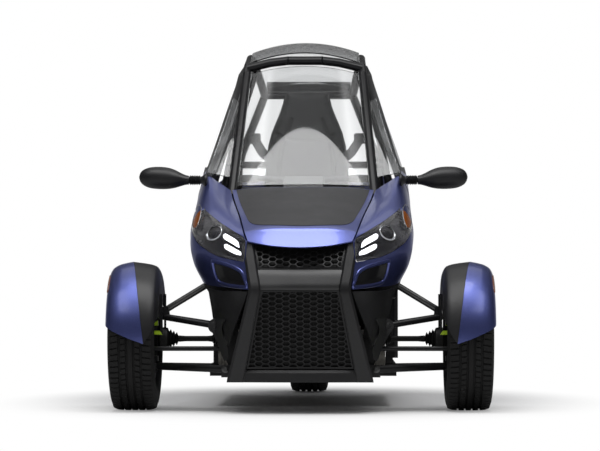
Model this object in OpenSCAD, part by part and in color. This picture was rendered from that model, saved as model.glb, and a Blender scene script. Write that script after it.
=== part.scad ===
// Three wheeled open-frame electric car with two seats in line.
// Forward is -Y, up is +Z, the vehicle's left side is +X, and the ground is at Z = 0.

/* [Overall] */
// Distance between the front and rear axles
wheelbase = 2032; // [1900:1:2200]
// Length from the front axle to the foremost point
front_overhang = 419; // [400:1:440]
// Length from the rear axle to the rearmost point
rear_overhang = 419; // [400:1:440]
// Distance between the front wheels' centre planes
front_track = 1344; // [1300:1:1400]

/* [Wheels] */
// Tyre outside diameter
tyre_d = 578; // [560:1:590]
// Tyre section width
tyre_w = 185; // [165:1:190]
// Width of a groove round the tread
groove_w = 9; // [7:0.5:11]
// Depth of a groove round the tread
groove_d = 7; // [5:0.5:8]
// Wheel rim diameter at the tyre's bead
rim_d = 356; // [340:1:370]
// Spokes in each wheel
spoke_count = 10; // [5:1:14]
// Radius of the stub axle inside the hub
spindle_r = 17.5; // [14:0.5:20]
// Running clearance on a shaft or pin, all round
pin_clear = 0.08; // [0.03:0.01:0.1]
// Thickness of the rim's barrel
barrel_t = 7; // [5:0.5:8]
// Thickness and width of a spoke
face_t = 14; // [10:0.5:18]

/* [Nose] */
// Half the width of the nose at its widest
nose_half_w = 455; // [430:1:470]
// Length of the nose from the foot of the windshield to the front
nose_len = 795; // [760:1:830]
// Height of the nose's lower edge
nose_bottom_z = 480; // [470:1:500]
// Height from the nose's lower edge to the foot of the windshield
nose_h = 440; // [420:1:460]
// Thickness of the painted skins
skin_t = 5; // [3:0.5:8]
// Gap between neighbouring panels
panel_gap = 6; // [5:0.5:8]

/* [Cabin] */
// Half the width over the doors
cabin_half_w = 455; // [440:1:470]
// Length of a door
door_len = 930; // [880:1:950]
// Height of the door's lower edge
door_bottom_z = 452; // [440:1:470]
// Height from the door's lower edge to the top of its window
door_h = 1075; // [1050:1:1090]
// Crown of the roof over its rails
roof_crown = 49; // [40:1:60]
// Thickness of the windshield, the roof and the door windows
glass_t = 5; // [4:0.5:8]
// Radius of the cage's tubes
cage_r = 19; // [15:0.5:22]

/* [Chassis] */
// Height of the lower frame rails' underside
frame_z = 128; // [120:1:140]
// Height of the bumper above the ground
bumper_z = 123; // [115:1:135]
// Distance of the steering pivots inboard of the wheels' centre planes
kingpin_offset = 78; // [74:1:82]

/* [Bumper] */
// Height of the bumper's lower bar
bumper_bar_h = 51; // [45:1:60]
// Depth of the bumper's bars
bumper_bar_d = 30; // [26:1:36]
// Height of the bumper's foremost point
knee_z = 487; // [475:1:495]
// Height of the upper grille's top edge
grille_top_z = 648; // [640:1:660]
// Circumradius of a honeycomb cell
cell_r = 18; // [15:0.5:22]
// Wall between two honeycomb cells
cell_wall = 4; // [3:0.5:6]
// Thickness of the grilles
grille_t = 8; // [6:0.5:12]

/* [Suspension] */
// Height of the upper wishbone's ball joint
upper_joint_z = 383; // [378:1:388]
// Height of the lower wishbone's ball joint
lower_joint_z = 178; // [174:1:182]
// Upper wishbone pivot, distance from the middle
upper_pivot_x = 340; // [335:1:346]
// Upper wishbone pivot height
upper_pivot_z = 342; // [338:1:346]
// Half the spread of the upper wishbone's pivots
upper_spread = 100; // [96:1:104]
// Lower wishbone pivot, distance from the middle
lower_pivot_x = 300; // [296:1:304]
// Lower wishbone pivot height
lower_pivot_z = 170; // [168:1:172]
// Half the spread of the lower wishbone's pivots
lower_spread = 150; // [145:1:155]
// Radius of the upper wishbone's tubes
upper_arm_r = 13; // [11:0.5:14]
// Radius of the lower wishbone's tubes
lower_arm_r = 15; // [13:0.5:17]
// Radius of the wishbones' pivot bolts
pivot_r = 8; // [6:0.5:9]
// Radius of the steering pivots
kingpin_r = 10; // [8:0.5:11]
// Thickness of brackets and ears
bracket_t = 8; // [6:0.5:10]
// Radius of a half shaft
shaft_r = 13; // [11:0.5:15]
// Radius of a drive joint's cup
cup_r = 42; // [38:1:44]
// Radius of the brake discs
brake_r = 115; // [105:1:120]
// Clearance round the moving parts
run_clear = 6; // [5:0.5:8]
// Thickness of the brake discs
disc_t = 8; // [6:0.5:10]

/* [Fenders] */
// Radius of the front fenders' ridge
fender_r = 311; // [308:1:316]
// How far the front fenders reach over the tyres' outer sides
fender_over = 16.5; // [12:0.5:20]
// Thickness of the fenders
fender_t = 4; // [3:0.5:6]

/* [Drive and battery] */
// Radius of a drive motor over its fins
motor_r = 58; // [52:1:60]
// Fins on each motor
fin_count = 7; // [4:1:9]
// Height of the battery box
battery_h = 186; // [170:1:190]
// Thickness of a motor's fin
fin_t = 4; // [3:0.5:5]

/* [Seats and controls] */
// Half the width of a seat's cushion
seat_half_w = 215; // [200:1:225]
// Height of the driver's seat cushion
seat_z = 640; // [620:1:660]
// Height of the driver's seat back over its cushion
seat_back_h = 775; // [750:1:790]
// Thickness of the seat padding
pad_t = 85; // [70:1:95]
// Half the width of the handlebar
handlebar_half_w = 280; // [260:1:284]
// Radius of the handlebar's tube
handlebar_r = 12; // [11:0.5:14]
// Radius of the steering column
column_r = 16; // [14:0.5:18]
// Radius of a mirror's shell
mirror_r = 38; // [34:1:42]

/* [Tail] */
// Half the width of the tail panel
tail_half_w = 190; // [175:1:205]
// Distance of the rear arm's tubes from the tyre's sides, to their centres
arm_side_gap = 35.5; // [34:0.5:42]
// Radius of the rear arm's tubes
arm_r = 20; // [18:0.5:22]
// Radius of the rear axle
rear_axle_r = 12.5; // [11:0.5:14]
// Radius of a tail lamp
tail_lamp_r = 42; // [36:1:46]

/* [Frame] */
// Side of the frame's square tubes
rail_w = 40; // [36:1:44]
// Front lower rails, distance of their inner sides from the middle
rail_x = 225; // [220:1:230]
// Sills, distance of their inner sides from the middle
sill_x = 350; // [346:1:356]
// Underside of the front upper rails
upper_rail_z = 345; // [342:1:350]
// Height of the cowl beam's top
cowl_beam_z = 868; // [860:1:876]
// Foot of a windshield pillar, from the middle of the nose's rear edge
foot_reach = [300, -28, -40]; // [-100:1:400]
// Top of a windshield pillar, from the same point
top_reach = [249, 378, 536]; // [0:1:800]
// Roof rail at its highest point
mid_reach = [246, 700, 612]; // [0:1:900]
// Roof rail where the main hoop meets it
hoop_reach = [238, 1065, 600]; // [0:1:1200]
// Rear end of the roof rail
end_reach = [212, 1490, 505]; // [0:1:1600]
// How far the rear stays spread outside the roof rails
stay_out = 123.5; // [110:0.5:135]
// Height of the harness bar
harness_z = 1068; // [1050:1:1090]
// Radius of the windshield pillars
pillar_r = 16; // [14:0.5:19]
// How far the windshield bows forward
screen_bow = 55; // [40:1:65]
// How far the windshield's head arches up
screen_rise = 32; // [20:1:40]
// Height of the floor
floor_z = 334; // [330:1:340]
// Thickness of the floor and the bulkhead
floor_t = 8; // [6:0.5:10]
// Length of the rear arm, from its pivot to the axle
arm_len = 456; // [446:1:466]
// Rear arm pivot height
arm_pivot_z = 330; // [325:1:335]
// Hinge pin, distance from the middle
hinge_x = 438; // [435:1:441]
// Gap of the hinge pin behind the front edge of its door
hinge_back = 15; // [13:0.5:18]
// Radius of a hinge pin
hinge_r = 6; // [5:0.5:7]
// Thickness of a door
door_t = 28; // [24:1:32]
// Gap between a door and the nose
door_gap = 12; // [9:0.5:16]
// Radius of the struts behind the panels
strut_r = 6; // [4:0.5:8]
// Overrun of every cut
cut_over = 1; // [0.5:0.1:1.5]
// Gap between pieces that lie against each other
rim_gap = 0.3; // [0.2:0.05:0.4]
// Thin step between neighbouring faces
slab_t = 2; // [1:0.5:3]

/* [Hidden] */
$fn = 48;
paint = [0.22, 0.25, 0.58];
black = [0.12, 0.12, 0.13];
grey = [0.3, 0.3, 0.32];
glass = [0.8, 0.85, 0.88, 0.35];
lime = [0.65, 0.85, 0.1];
rubber = [0.07, 0.07, 0.07];
lamp_red = [0.7, 0.05, 0.05];

// Places that everything hangs from
overall_length = front_overhang + wheelbase + rear_overhang;
front_y = -overall_length / 2;
tail_y = overall_length / 2;
front_axle_y = front_y + front_overhang;
rear_axle_y = tail_y - rear_overhang;
axle_z = tyre_d / 2;
wheel_x = front_track / 2;
kingpin_x = wheel_x - kingpin_offset;
cowl_y = front_y + nose_len;
cowl_z = nose_bottom_z + nose_h;
tyre_r = tyre_d / 2;
fender_half_w = wheel_x + tyre_w / 2 + fender_over;
arm_half_w = tyre_w / 2 + arm_side_gap;
arm_pivot_y = rear_axle_y - arm_len;
cowl_at = [0, cowl_y, cowl_z];
pillar_foot = cowl_at + foot_reach;
pillar_top = cowl_at + top_reach;
rail_mid = cowl_at + mid_reach;
rail_hoop = cowl_at + hoop_reach;
rail_end = cowl_at + end_reach;

// A smooth curve through a list of points, for t from 0 to 1
function bend4(a, b, c, d, t) =
    (2 * b + (c - a) * t + (2 * a - 5 * b + 4 * c - d) * t * t
    + (3 * b - a - 3 * c + d) * t * t * t) / 2;
function curve(p, t) =
    let (last = len(p) - 1, at = t * last, i = min(floor(at), last - 1))
    bend4(i == 0 ? 2 * p[0] - p[1] : p[i - 1], p[i], p[i + 1],
        i == last - 1 ? 2 * p[last] - p[last - 1] : p[i + 2], at - i);
function mix(a, b, t) = a + (b - a) * t;

// A net of shares set at its place and to its size
function placed(shares, at, size) =
    [for (row = shares) [for (p = row) at + [p.x * size.x, p.y * size.y, p.z * size.z]]];
// Rows that run from the middle outward, made whole by their mirror image
function mirrored(rows) =
    [for (row = rows) concat([for (k = [len(row) - 1:-1:1]) [-row[k].x, row[k].y, row[k].z]], row)];
// A grid of points on the smooth surface through a net
function patch(net, rows, cols, low = [0, 0], high = [1, 1]) =
    [for (i = [0:rows]) [for (j = [0:cols])
        curve([for (row = net) curve(row, mix(low.y, high.y, j / cols))], mix(low.x, high.x, i / rows))]];
function grid_normal(g, i, j) =
    let (a = g[min(i + 1, len(g) - 1)][j] - g[max(i - 1, 0)][j],
        b = g[i][min(j + 1, len(g[0]) - 1)] - g[i][max(j - 1, 0)],
        n = cross(a, b))
    n / norm(n);
// The grid moved inward along its normals
function inset(g, d) =
    [for (i = [0:len(g) - 1]) [for (j = [0:len(g[0]) - 1]) g[i][j] - d * grid_normal(g, i, j)]];

// A closed body between two grids
module skin(g, under) {
    rows = len(g) - 1;
    cols = len(g[0]) - 1;
    wide = cols + 1;
    drop = wide * (rows + 1);
    spots = concat([for (row = g) for (p = row) p], [for (row = under) for (p = row) p]);
    tops = [for (i = [0:rows - 1]) for (j = [0:cols - 1])
        let (a = i * wide + j, b = a + wide, c = b + 1, d = a + 1)
        each [[a, c, b], [a, d, c], [a + drop, b + drop, c + drop], [a + drop, c + drop, d + drop]]];
    sides = [for (i = [0:rows - 1])
        let (a = i * wide, b = a + wide, c = a + cols, d = b + cols)
        each [[a, b, b + drop], [a, b + drop, a + drop], [d, c, c + drop], [d, c + drop, d + drop]]];
    ends = [for (j = [0:cols - 1])
        let (a = j, b = j + 1, c = rows * wide + j, d = c + 1)
        each [[b, a, a + drop], [b, a + drop, b + drop], [c, d, d + drop], [c, d + drop, c + drop]]];
    polyhedron(spots, concat(tops, sides, ends));
}
// A sheet under a grid, of thickness t
module sheet(g, t) {
    skin(g, inset(g, t));
}
// A pad under a grid, down to a flat base at height z
module pad(g, z) {
    skin(g, [for (row = g) [for (p = row) [p.x, p.y, z]]]);
}
// A point inside a grid's corner, d away from it
function inside(g, i, j, d) = g[i][j] - d * grid_normal(g, i, j);

module both() {
    children();
    mirror([1, 0, 0]) children();
}
// A round bar from a to b
module rod(a, b, r) {
    d = b - a;
    translate(a)
        rotate([0, acos(d.z / norm(d)), atan2(d.y, d.x)])
        cylinder(h = norm(d), r = r);
}
// A round bar along X or Y, from its low end
module bar_x(at, h, r) {
    translate(at) rotate([0, 90, 0]) cylinder(h = h, r = r);
}
module bar_y(at, h, r) {
    translate(at) rotate([-90, 0, 0]) cylinder(h = h, r = r);
}
// A box between two corners
module block(a, b) {
    translate(a) cube(b - a);
}
// A flat outline in X and Z, t thick, with its front face at y
module plate_y(y, t) {
    translate([0, y + t, 0]) rotate([90, 0, 0]) linear_extrude(t) children();
}
// A flat outline in Y and Z, t thick, from x
module plate_x(x, t) {
    translate([x, 0, 0]) rotate([90, 0, 90]) linear_extrude(t) children();
}
// A tube through the points, each corner eased into two smaller ones and closed by a ball
function unit(v) = v / norm(v);
weld_share = 1.02;
function eased(p, d) = [for (i = [0:len(p) - 1])
    if (i == 0 || i == len(p) - 1) p[i]
    else for (q = [p[i - 1], p[i + 1]]) p[i] + unit(q - p[i]) * d];
module bent_tube(points, r, bend) {
    p = eased(points, bend);
    for (i = [0:len(p) - 2]) rod(p[i], p[i + 1], r);
    for (i = [1:len(p) - 2]) translate(p[i]) sphere(r * weld_share);
}

// Nose: share of the half width, of the length forward of the windshield's foot, and of the height
nose_at = [0, cowl_y, nose_bottom_z];
nose_size = [nose_half_w, -nose_len, nose_h];
// Hood, from its middle out to its edge; rows run from the windshield to the front
hood_shares = [
    [[0, 0.085, 0.992], [0.36, 0.08, 0.99], [0.65, 0.07, 0.965]],
    [[0, 0.30, 0.875], [0.34, 0.285, 0.87], [0.613, 0.24, 0.85]],
    [[0, 0.60, 0.715], [0.30, 0.58, 0.71], [0.543, 0.53, 0.69]],
    [[0, 0.815, 0.55], [0.27, 0.805, 0.55], [0.485, 0.78, 0.535]],
    [[0, 0.937, 0.39], [0.245, 0.92, 0.405], [0.45, 0.885, 0.445]]
];
// Cheek, from the hood's edge over the shoulder to the lower edge; rows run from the door to the front
cheek_shares = [
    [[0.668, 0.06, 0.965], [0.79, -0.03, 1.05], [0.895, -0.06, 1.1], [0.98, -0.07, 0.91],
        [0.993, -0.063, 0.59], [0.934, -0.05, 0.27], [0.88, -0.04, 0.114]],
    [[0.628, 0.24, 0.852], [0.736, 0.22, 0.89], [0.857, 0.2, 0.913], [0.963, 0.195, 0.807],
        [1, 0.2, 0.568], [0.958, 0.214, 0.295], [0.884, 0.226, 0.114]],
    [[0.558, 0.53, 0.693], [0.681, 0.503, 0.727], [0.818, 0.478, 0.727], [0.934, 0.453, 0.67],
        [0.993, 0.44, 0.534], [0.967, 0.44, 0.307], [0.89, 0.453, 0.118]],
    [[0.5, 0.78, 0.537], [0.604, 0.748, 0.55], [0.725, 0.717, 0.534], [0.846, 0.667, 0.477],
        [0.919, 0.616, 0.364], [0.89, 0.6, 0.205], [0.813, 0.61, 0.057]],
    [[0.466, 0.887, 0.445], [0.47, 0.9, 0.386], [0.472, 0.91, 0.318], [0.47, 0.916, 0.25],
        [0.466, 0.92, 0.18], [0.455, 0.923, 0.095], [0.446, 0.923, 0.014]]
];
// Headlamp seen from the front: share of the nose's half width and height
lamp_shares = [
    [0.94, 0.845], [0.848, 0.74], [0.714, 0.63], [0.58, 0.54], [0.475, 0.461], [0.479, 0.273],
    [0.516, 0.264], [0.686, 0.302], [0.79, 0.348], [0.908, 0.434], [0.969, 0.532], [0.996, 0.62],
    [0.982, 0.739]
];
// Vent opening seen from the front
pod_shares = [
    [0.763, 0.264], [0.695, 0.25], [0.576, 0.209], [0.51, 0.164], [0.481, 0.091], [0.47, 0.041],
    [0.615, 0.055], [0.708, 0.084], [0.743, 0.148], [0.758, 0.205]
];
lamp_rear_share = 0.38;
function middle(p, i = 0) = i == len(p) - 1 ? p[i] / len(p) : p[i] / len(p) + middle(p, i + 1);
// An outline's points, grown or shrunk about their middle
function grown(shares, share) = let (c = middle(shares)) [for (p = shares) c + (p - c) * share];
module nose_prism(shares) {
    deep = nose_len * (1 - lamp_rear_share) + nose_len;
    translate([0, cowl_y - nose_len * lamp_rear_share, nose_bottom_z])
        rotate([90, 0, 0])
        linear_extrude(deep)
        polygon([for (p = shares) [p.x * nose_half_w, p.y * nose_h]]);
}
cheek_net = placed(cheek_shares, nose_at, nose_size);

hood_grid = patch(placed(mirrored(hood_shares), nose_at, nose_size), 10, 10);
cheek_grid = patch(cheek_net, 12, 14);
module hood() {
    color(paint) sheet(hood_grid, skin_t);
}
module cheek() {
    difference() {
        sheet(cheek_grid, skin_t);
        nose_prism(lamp_shares);
        nose_prism(pod_shares);
    }
}
module nose_cheeks() {
    color(paint) both() cheek();
}
lamp_inner_share = 0.99;
lamp_t = 3 * skin_t;
module headlamp() {
    intersection() {
        sheet(patch(cheek_net, 8, 9, [0.35, 0], [1, 1]), lamp_t);
        nose_prism(grown(lamp_shares, lamp_inner_share));
    }
}
module headlamps() {
    color(black) both() headlamp();
}
pod_outer_share = 1.12;
skin_gap = skin_t / 16;
module vent_pod() {
    intersection() {
        sheet(inset(patch(cheek_net, 8, 8, [0.55, 0.45], [1, 1]), skin_t + skin_gap), skin_t);
        nose_prism(grown(pod_shares, pod_outer_share));
    }
}
module vent_pods() {
    color(black) both() vent_pod();
}

// Bumper: half width inside and outside each bar, and how far its front lies behind the foremost point
bar_in_shares = [0.486, 0.336, 0.4];
bar_out_shares = [0.635, 0.433, 0.499];
bar_back_shares = [0.107, 0, 0.05];
bar_tops = [bumper_z, knee_z, grille_top_z + panel_gap * 4];
function bar_back(k) = front_y + nose_len * bar_back_shares[k];
module bar_slab(k) {
    block([nose_half_w * bar_in_shares[k], bar_back(k), bar_tops[k] - slab_t * k / 2],
        [nose_half_w * bar_out_shares[k], bar_back(k) + bumper_bar_d,
            bar_tops[k] - slab_t * k / 2 + slab_t]);
}
module bumper_bar() {
    for (k = [0:1]) hull() {
        bar_slab(k);
        bar_slab(k + 1);
    }
}
// Plan of the lower bar, bowed forward
bow_steps = 8;
lower_bar_rear = front_y + 4.5 * bumper_bar_d;
module lower_bar() {
    half = nose_half_w * bar_in_shares[0] + bumper_bar_d / 3;
    bow = bumper_bar_d / 2;
    translate([0, 0, bumper_z])
        linear_extrude(bumper_bar_h)
        polygon(concat(
            [for (k = [-bow_steps:bow_steps])
                [half * k / bow_steps, bar_back(0) - bow * (1 - pow(k / bow_steps, 2))]],
            [[half, lower_bar_rear], [-half, lower_bar_rear]]));
}
module front_bumper() {
    color(black) {
        both() bumper_bar();
        lower_bar();
    }
}
// Half width inside the bars at a height
function bar_gap(z) = nose_half_w * (z < knee_z
    ? mix(bar_in_shares[0], bar_in_shares[1], (z - bumper_z) / (knee_z - bumper_z))
    : mix(bar_in_shares[1], bar_in_shares[2], (z - knee_z) / (bar_tops[2] - knee_z)));
function bar_front(z) = z < knee_z
    ? mix(bar_back(0), bar_back(1), (z - bumper_z) / (knee_z - bumper_z))
    : mix(bar_back(1), bar_back(2), (z - knee_z) / (bar_tops[2] - knee_z));
mid_top_z = knee_z + bumper_bar_h * 1.5;
bar_play = rim_gap;
module bumper_panel() {
    tuck = bumper_bar_d / 6;
    net = [for (z = [mid_top_z, (mid_top_z + knee_z) / 2, knee_z])
        [for (k = [-2:2]) [(bar_gap(z) - bar_play) * k / 2, bar_front(z) + tuck * k * k / 4, z]]];
    color(black) sheet(patch(net, 4, 8), skin_t);
}
cell_pitch = cell_r * 3;
cell_rise = cell_r * sqrt(3) / 2;
// Honeycomb cells in rows over an area
module cells(half_w, height) {
    for (row = [0:ceil(height / cell_rise)])
        for (k = [-ceil(half_w / cell_pitch):ceil(half_w / cell_pitch)])
            translate([(k + (row % 2) / 2) * cell_pitch, row * cell_rise])
                circle(cell_r - cell_wall / 2, $fn = 6);
}
// A honeycomb panel between the bars, from one height to another, set back from their front
module honeycomb(low, high, back) {
    tall = norm([high - low, bar_front(high) - bar_front(low)]);
    lean = atan2(bar_front(high) - bar_front(low), high - low);
    low_half = bar_gap(low) - bar_play;
    top_half = bar_gap(high) - bar_play;
    rim = cell_wall * 2;
    translate([0, bar_front(low) + back + grille_t, low])
        rotate([90 - lean, 0, 0])
        linear_extrude(grille_t)
        difference() {
            polygon([[-low_half, 0], [low_half, 0], [top_half, tall], [-top_half, tall]]);
            intersection() {
                polygon([[rim - low_half, rim], [low_half - rim, rim],
                    [top_half - rim, tall - rim], [rim - top_half, tall - rim]]);
                cells(max(low_half, top_half), tall);
            }
        }
}
module lower_grille() {
    color(black) honeycomb(bumper_z + bumper_bar_h + slab_t, knee_z - slab_t, bumper_bar_d / 3);
}
module upper_grille() {
    color(black) honeycomb(mid_top_z + slab_t, grille_top_z, bumper_bar_d / 5);
}
// Lower cowl: rows run down, columns outward
cowl_shares = [
    [[0.45, 0.917, -0.005], [0.593, 0.843, 0], [0.725, 0.742, 0.005], [0.82, 0.62, 0.03]],
    [[0.495, 0.893, -0.136], [0.593, 0.83, -0.136], [0.714, 0.736, -0.136], [0.79, 0.64, -0.136]],
    [[0.576, 0.862, -0.34], [0.626, 0.811, -0.34], [0.692, 0.736, -0.34], [0.752, 0.665, -0.33]],
    [[0.624, 0.83, -0.482], [0.637, 0.8, -0.484], [0.653, 0.742, -0.484], [0.664, 0.68, -0.482]]
];
cowl_grid = patch(placed(cowl_shares, nose_at, nose_size), 9, 6);
module lower_cowls() {
    color(black) both() sheet(cowl_grid, skin_t);
}

// Windshield and roof
function screen_spot(t, k) =
    let (e = mix([pillar_foot.x, pillar_foot.y, pillar_foot.z], pillar_top, t))
    [k * (e.x - cage_r - rim_gap), e.y - screen_bow * (1 - k * k) * (1 - t / 2),
        e.z + screen_rise * t * (1 - k * k)];
screen_low_share = 0.08;
screen_high_share = 0.955;
module windshield() {
    color(glass) sheet([for (i = [0:8]) [for (j = [-5:5])
        screen_spot(mix(screen_high_share, screen_low_share, i / 8), j / 5)]], glass_t);
}
roof_path = [pillar_top, rail_mid, rail_hoop, rail_end];
roof_end_share = 0.97;
module roof_panel() {
    color(grey) sheet([for (i = [0:12]) [for (j = [5:-1:-5])
        let (e = curve(roof_path, roof_end_share * i / 12), k = j / 5)
        [k * (e.x + cage_r / 2), e.y - screen_bow / 3 * (1 - k * k) * (1 - i / 12),
            e.z + cage_r + glass_t - rim_gap + (roof_crown - glass_t) * (1 - k * k) * (1 - pow(i / 12,
                2) / 3)]]],
        glass_t);
}
cage_bend = cage_r * 2;
module cage_side() {
    bent_tube([pillar_foot, pillar_top, rail_mid, rail_hoop, rail_end], cage_r, cage_bend);
    bent_tube([[hoop_x, hoop_y, hoop_low_z], [hoop_x, hoop_y, cowl_beam_z],
        [hoop_x * 0.82, hoop_y, (cowl_beam_z + rail_hoop.z) / 2 + cage_bend], rail_hoop], cage_r,
            cage_bend);
    bent_tube([rail_end, stay_knee, stay_waist, stay_foot], cage_r, cage_bend);
}
hoop_x = sill_x + rail_w + cage_r / 2;
hoop_y = rail_hoop.y - cage_r;
hoop_low_z = frame_z + rail_w * 1.25;
stay_knee = [rail_end.x + stay_out, rail_end.y - cage_r, harness_z + 2 * cage_r];
stay_waist = [stay_knee.x + cage_r / 3, rail_end.y - 3 * cage_r, seat_z + 6 * cage_r];
stay_y = arm_pivot_y + 2 * rail_w;
stay_foot_z = floor_z + rail_w * 3;
stay_foot = [sill_x - cage_r, stay_y, stay_foot_z];
harness_x = hoop_x * 0.94;
function header_end(s) = [s * pillar_top.x, pillar_top.y, pillar_top.z];
function header_mid(s) = [s * pillar_top.x * 0.45, pillar_top.y - cage_r / 2, pillar_top.z + screen_rise];
module roll_cage() {
    color(black) {
        both() cage_side();
        both() translate(rail_end) sphere(cage_r * weld_share * weld_share);
        rod([-rail_end.x, rail_end.y, rail_end.z], rail_end, pillar_r);
        rod([-harness_x, hoop_y, harness_z], [harness_x, hoop_y, harness_z], pillar_r);
        bent_tube([header_end(-1), header_mid(-1), header_mid(1), header_end(1)], cage_r, cage_bend);
    }
}

// Quarter windows, between a pillar and the front edge of a door's frame
door_at = [0, cowl_y - nose_len * cheek_shares[0][3].y + door_gap, door_bottom_z];
door_size = [cabin_half_w, door_len, door_h];
// Door: rows run from its front to its rear, columns from its lower edge to the roof
door_shares = [
    [[0.857, 0, 0.003], [0.945, 0.003, 0.138], [0.99, 0.01, 0.268], [0.985, 0.014, 0.398],
        [0.908, 0.012, 0.495], [0.838, 0.085, 0.587], [0.757, 0.18, 0.7], [0.686, 0.29, 0.82],
        [0.64, 0.385, 0.912]],
    [[0.853, 0.25, 0], [0.945, 0.25, 0.138], [0.998, 0.253, 0.287], [0.993, 0.256, 0.417],
        [0.965, 0.258, 0.5], [0.905, 0.296, 0.589], [0.804, 0.35, 0.714], [0.69, 0.425, 0.85],
        [0.614, 0.495, 0.944]],
    [[0.848, 0.503, 0], [0.943, 0.503, 0.138], [0.996, 0.503, 0.287], [0.993, 0.503, 0.417],
        [0.973, 0.508, 0.5], [0.914, 0.525, 0.585], [0.804, 0.552, 0.72], [0.688, 0.584, 0.867],
        [0.6, 0.617, 0.967]],
    [[0.846, 0.755, 0], [0.941, 0.755, 0.138], [0.993, 0.755, 0.287], [0.991, 0.755, 0.417],
        [0.971, 0.755, 0.5], [0.912, 0.76, 0.585], [0.802, 0.766, 0.72], [0.686, 0.775, 0.87],
        [0.597, 0.783, 0.975]],
    [[0.84, 1, 0], [0.932, 1, 0.138], [0.985, 1, 0.287], [0.982, 1, 0.417],
        [0.96, 0.998, 0.5], [0.901, 0.992, 0.585], [0.791, 0.981, 0.72], [0.678, 0.963, 0.868],
        [0.594, 0.942, 0.97]]
];
door_net = placed(door_shares, door_at, door_size);
// Window opening seen from the side: share of the door's length and height
window_shares = [[0.085, 0.525], [0.2, 0.65], [0.33, 0.79], [0.42, 0.875], [0.6, 0.922], [0.9, 0.928],
    [0.93, 0.82], [0.952, 0.68], [0.962, 0.525], [0.6, 0.53], [0.3, 0.53]];
module window_prism(share) {
    plate_x(0, nose_half_w * 2)
        polygon([for (p = grown(window_shares, share))
            [door_at.y + p.x * door_len, door_at.z + p.y * door_h]]);
}
hinge_y = door_at.y + hinge_back;
hinge_z_shares = [0.22, 0.36];
hinge_half = hinge_r * 4;
function hinge_z(k) = door_at.z + door_h * hinge_z_shares[k];
module door() {
    difference() {
        union() {
            difference() {
                sheet(patch(door_net, 12, 20), door_t);
                window_prism(1);
                for (k = [0:1])
                    block([hinge_x - door_t, door_at.y - door_gap, hinge_z(k) - hinge_half - 2 * run_clear],
                        [hinge_x + door_t, hinge_y + 3 * hinge_r, hinge_z(k) + hinge_half + 2 * run_clear]);
            }
            for (k = [0:1]) {
                translate([hinge_x, hinge_y, hinge_z(k) - hinge_half])
                    cylinder(h = 2 * hinge_half, r = 2 * hinge_r);
                block([hinge_x - hinge_r, hinge_y, hinge_z(k) - hinge_half],
                    [hinge_x + hinge_r, hinge_y + 4 * hinge_r, hinge_z(k) + hinge_half]);
            }
        }
        for (k = [0:1])
            translate([hinge_x, hinge_y, hinge_z(k) - hinge_half - cut_over])
                cylinder(h = 2 * hinge_half + 2 * cut_over, r = hinge_r + pin_clear);
    }
}
window_fit_share = 0.998;
module door_glass() {
    intersection() {
        sheet(inset(patch(door_net, 8, 10, [0, 0.45], [1, 1]), door_t / 3), glass_t);
        window_prism(window_fit_share);
    }
}
module left_door() {
    color(paint) door();
}
module right_door() {
    color(paint) mirror([1, 0, 0]) door();
}
module left_door_glass() {
    color(glass) door_glass();
}
module right_door_glass() {
    color(glass) mirror([1, 0, 0]) door_glass();
}
quarter_outer = [for (k = [4:8]) door_net[0][k] - [door_gap / 2, 1.5 * door_gap, 0]];
module quarter_window() {
    net = [for (k = [0:4])
        let (p = quarter_outer[k], t = (p.z - pillar_foot.z - skin_t * 4) / (pillar_top.z - pillar_foot.z),
            q = mix(pillar_foot, pillar_top, t) + [cage_r + rim_gap + glass_t / 4, 0, 0])
        [p, (p + q) / 2 + [0, -skin_t, 0], q]];
    sheet(patch(net, 8, 4, [0, 0], [0.72, 1]), glass_t);
}
module quarter_windows() {
    color(glass) both() quarter_window();
}

tail_at = [0, hoop_y, 0];
tail_size = [cabin_half_w, tail_y - hoop_y, cowl_z];
// Quarter panel: rows run from the door to the tail, columns from the lower to the upper edge
quarter_shares = [
    [[0.89, 0.02, 0.5], [0.985, 0.02, 0.7], [0.99, 0.02, 0.88], [0.93, 0.02, 1.06]],
    [[0.87, 0.2, 0.53], [0.965, 0.2, 0.71], [0.97, 0.2, 0.9], [0.91, 0.2, 1.09]],
    [[0.82, 0.45, 0.62], [0.87, 0.45, 0.78], [0.87, 0.45, 0.96], [0.8, 0.45, 1.14]],
    [[0.68, 0.7, 0.7], [0.72, 0.7, 0.83], [0.72, 0.7, 0.98], [0.64, 0.7, 1.12]],
    [[0.53, 0.88, 0.74], [0.56, 0.88, 0.84], [0.56, 0.88, 0.96], [0.5, 0.88, 1.06]],
    [[0.43, 0.985, 0.76], [0.45, 0.985, 0.84], [0.45, 0.985, 0.94], [0.42, 0.985, 1.01]]
];
quarter_net = placed(quarter_shares, tail_at, tail_size);
quarter_grid = patch(quarter_net, 12, 6);

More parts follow.
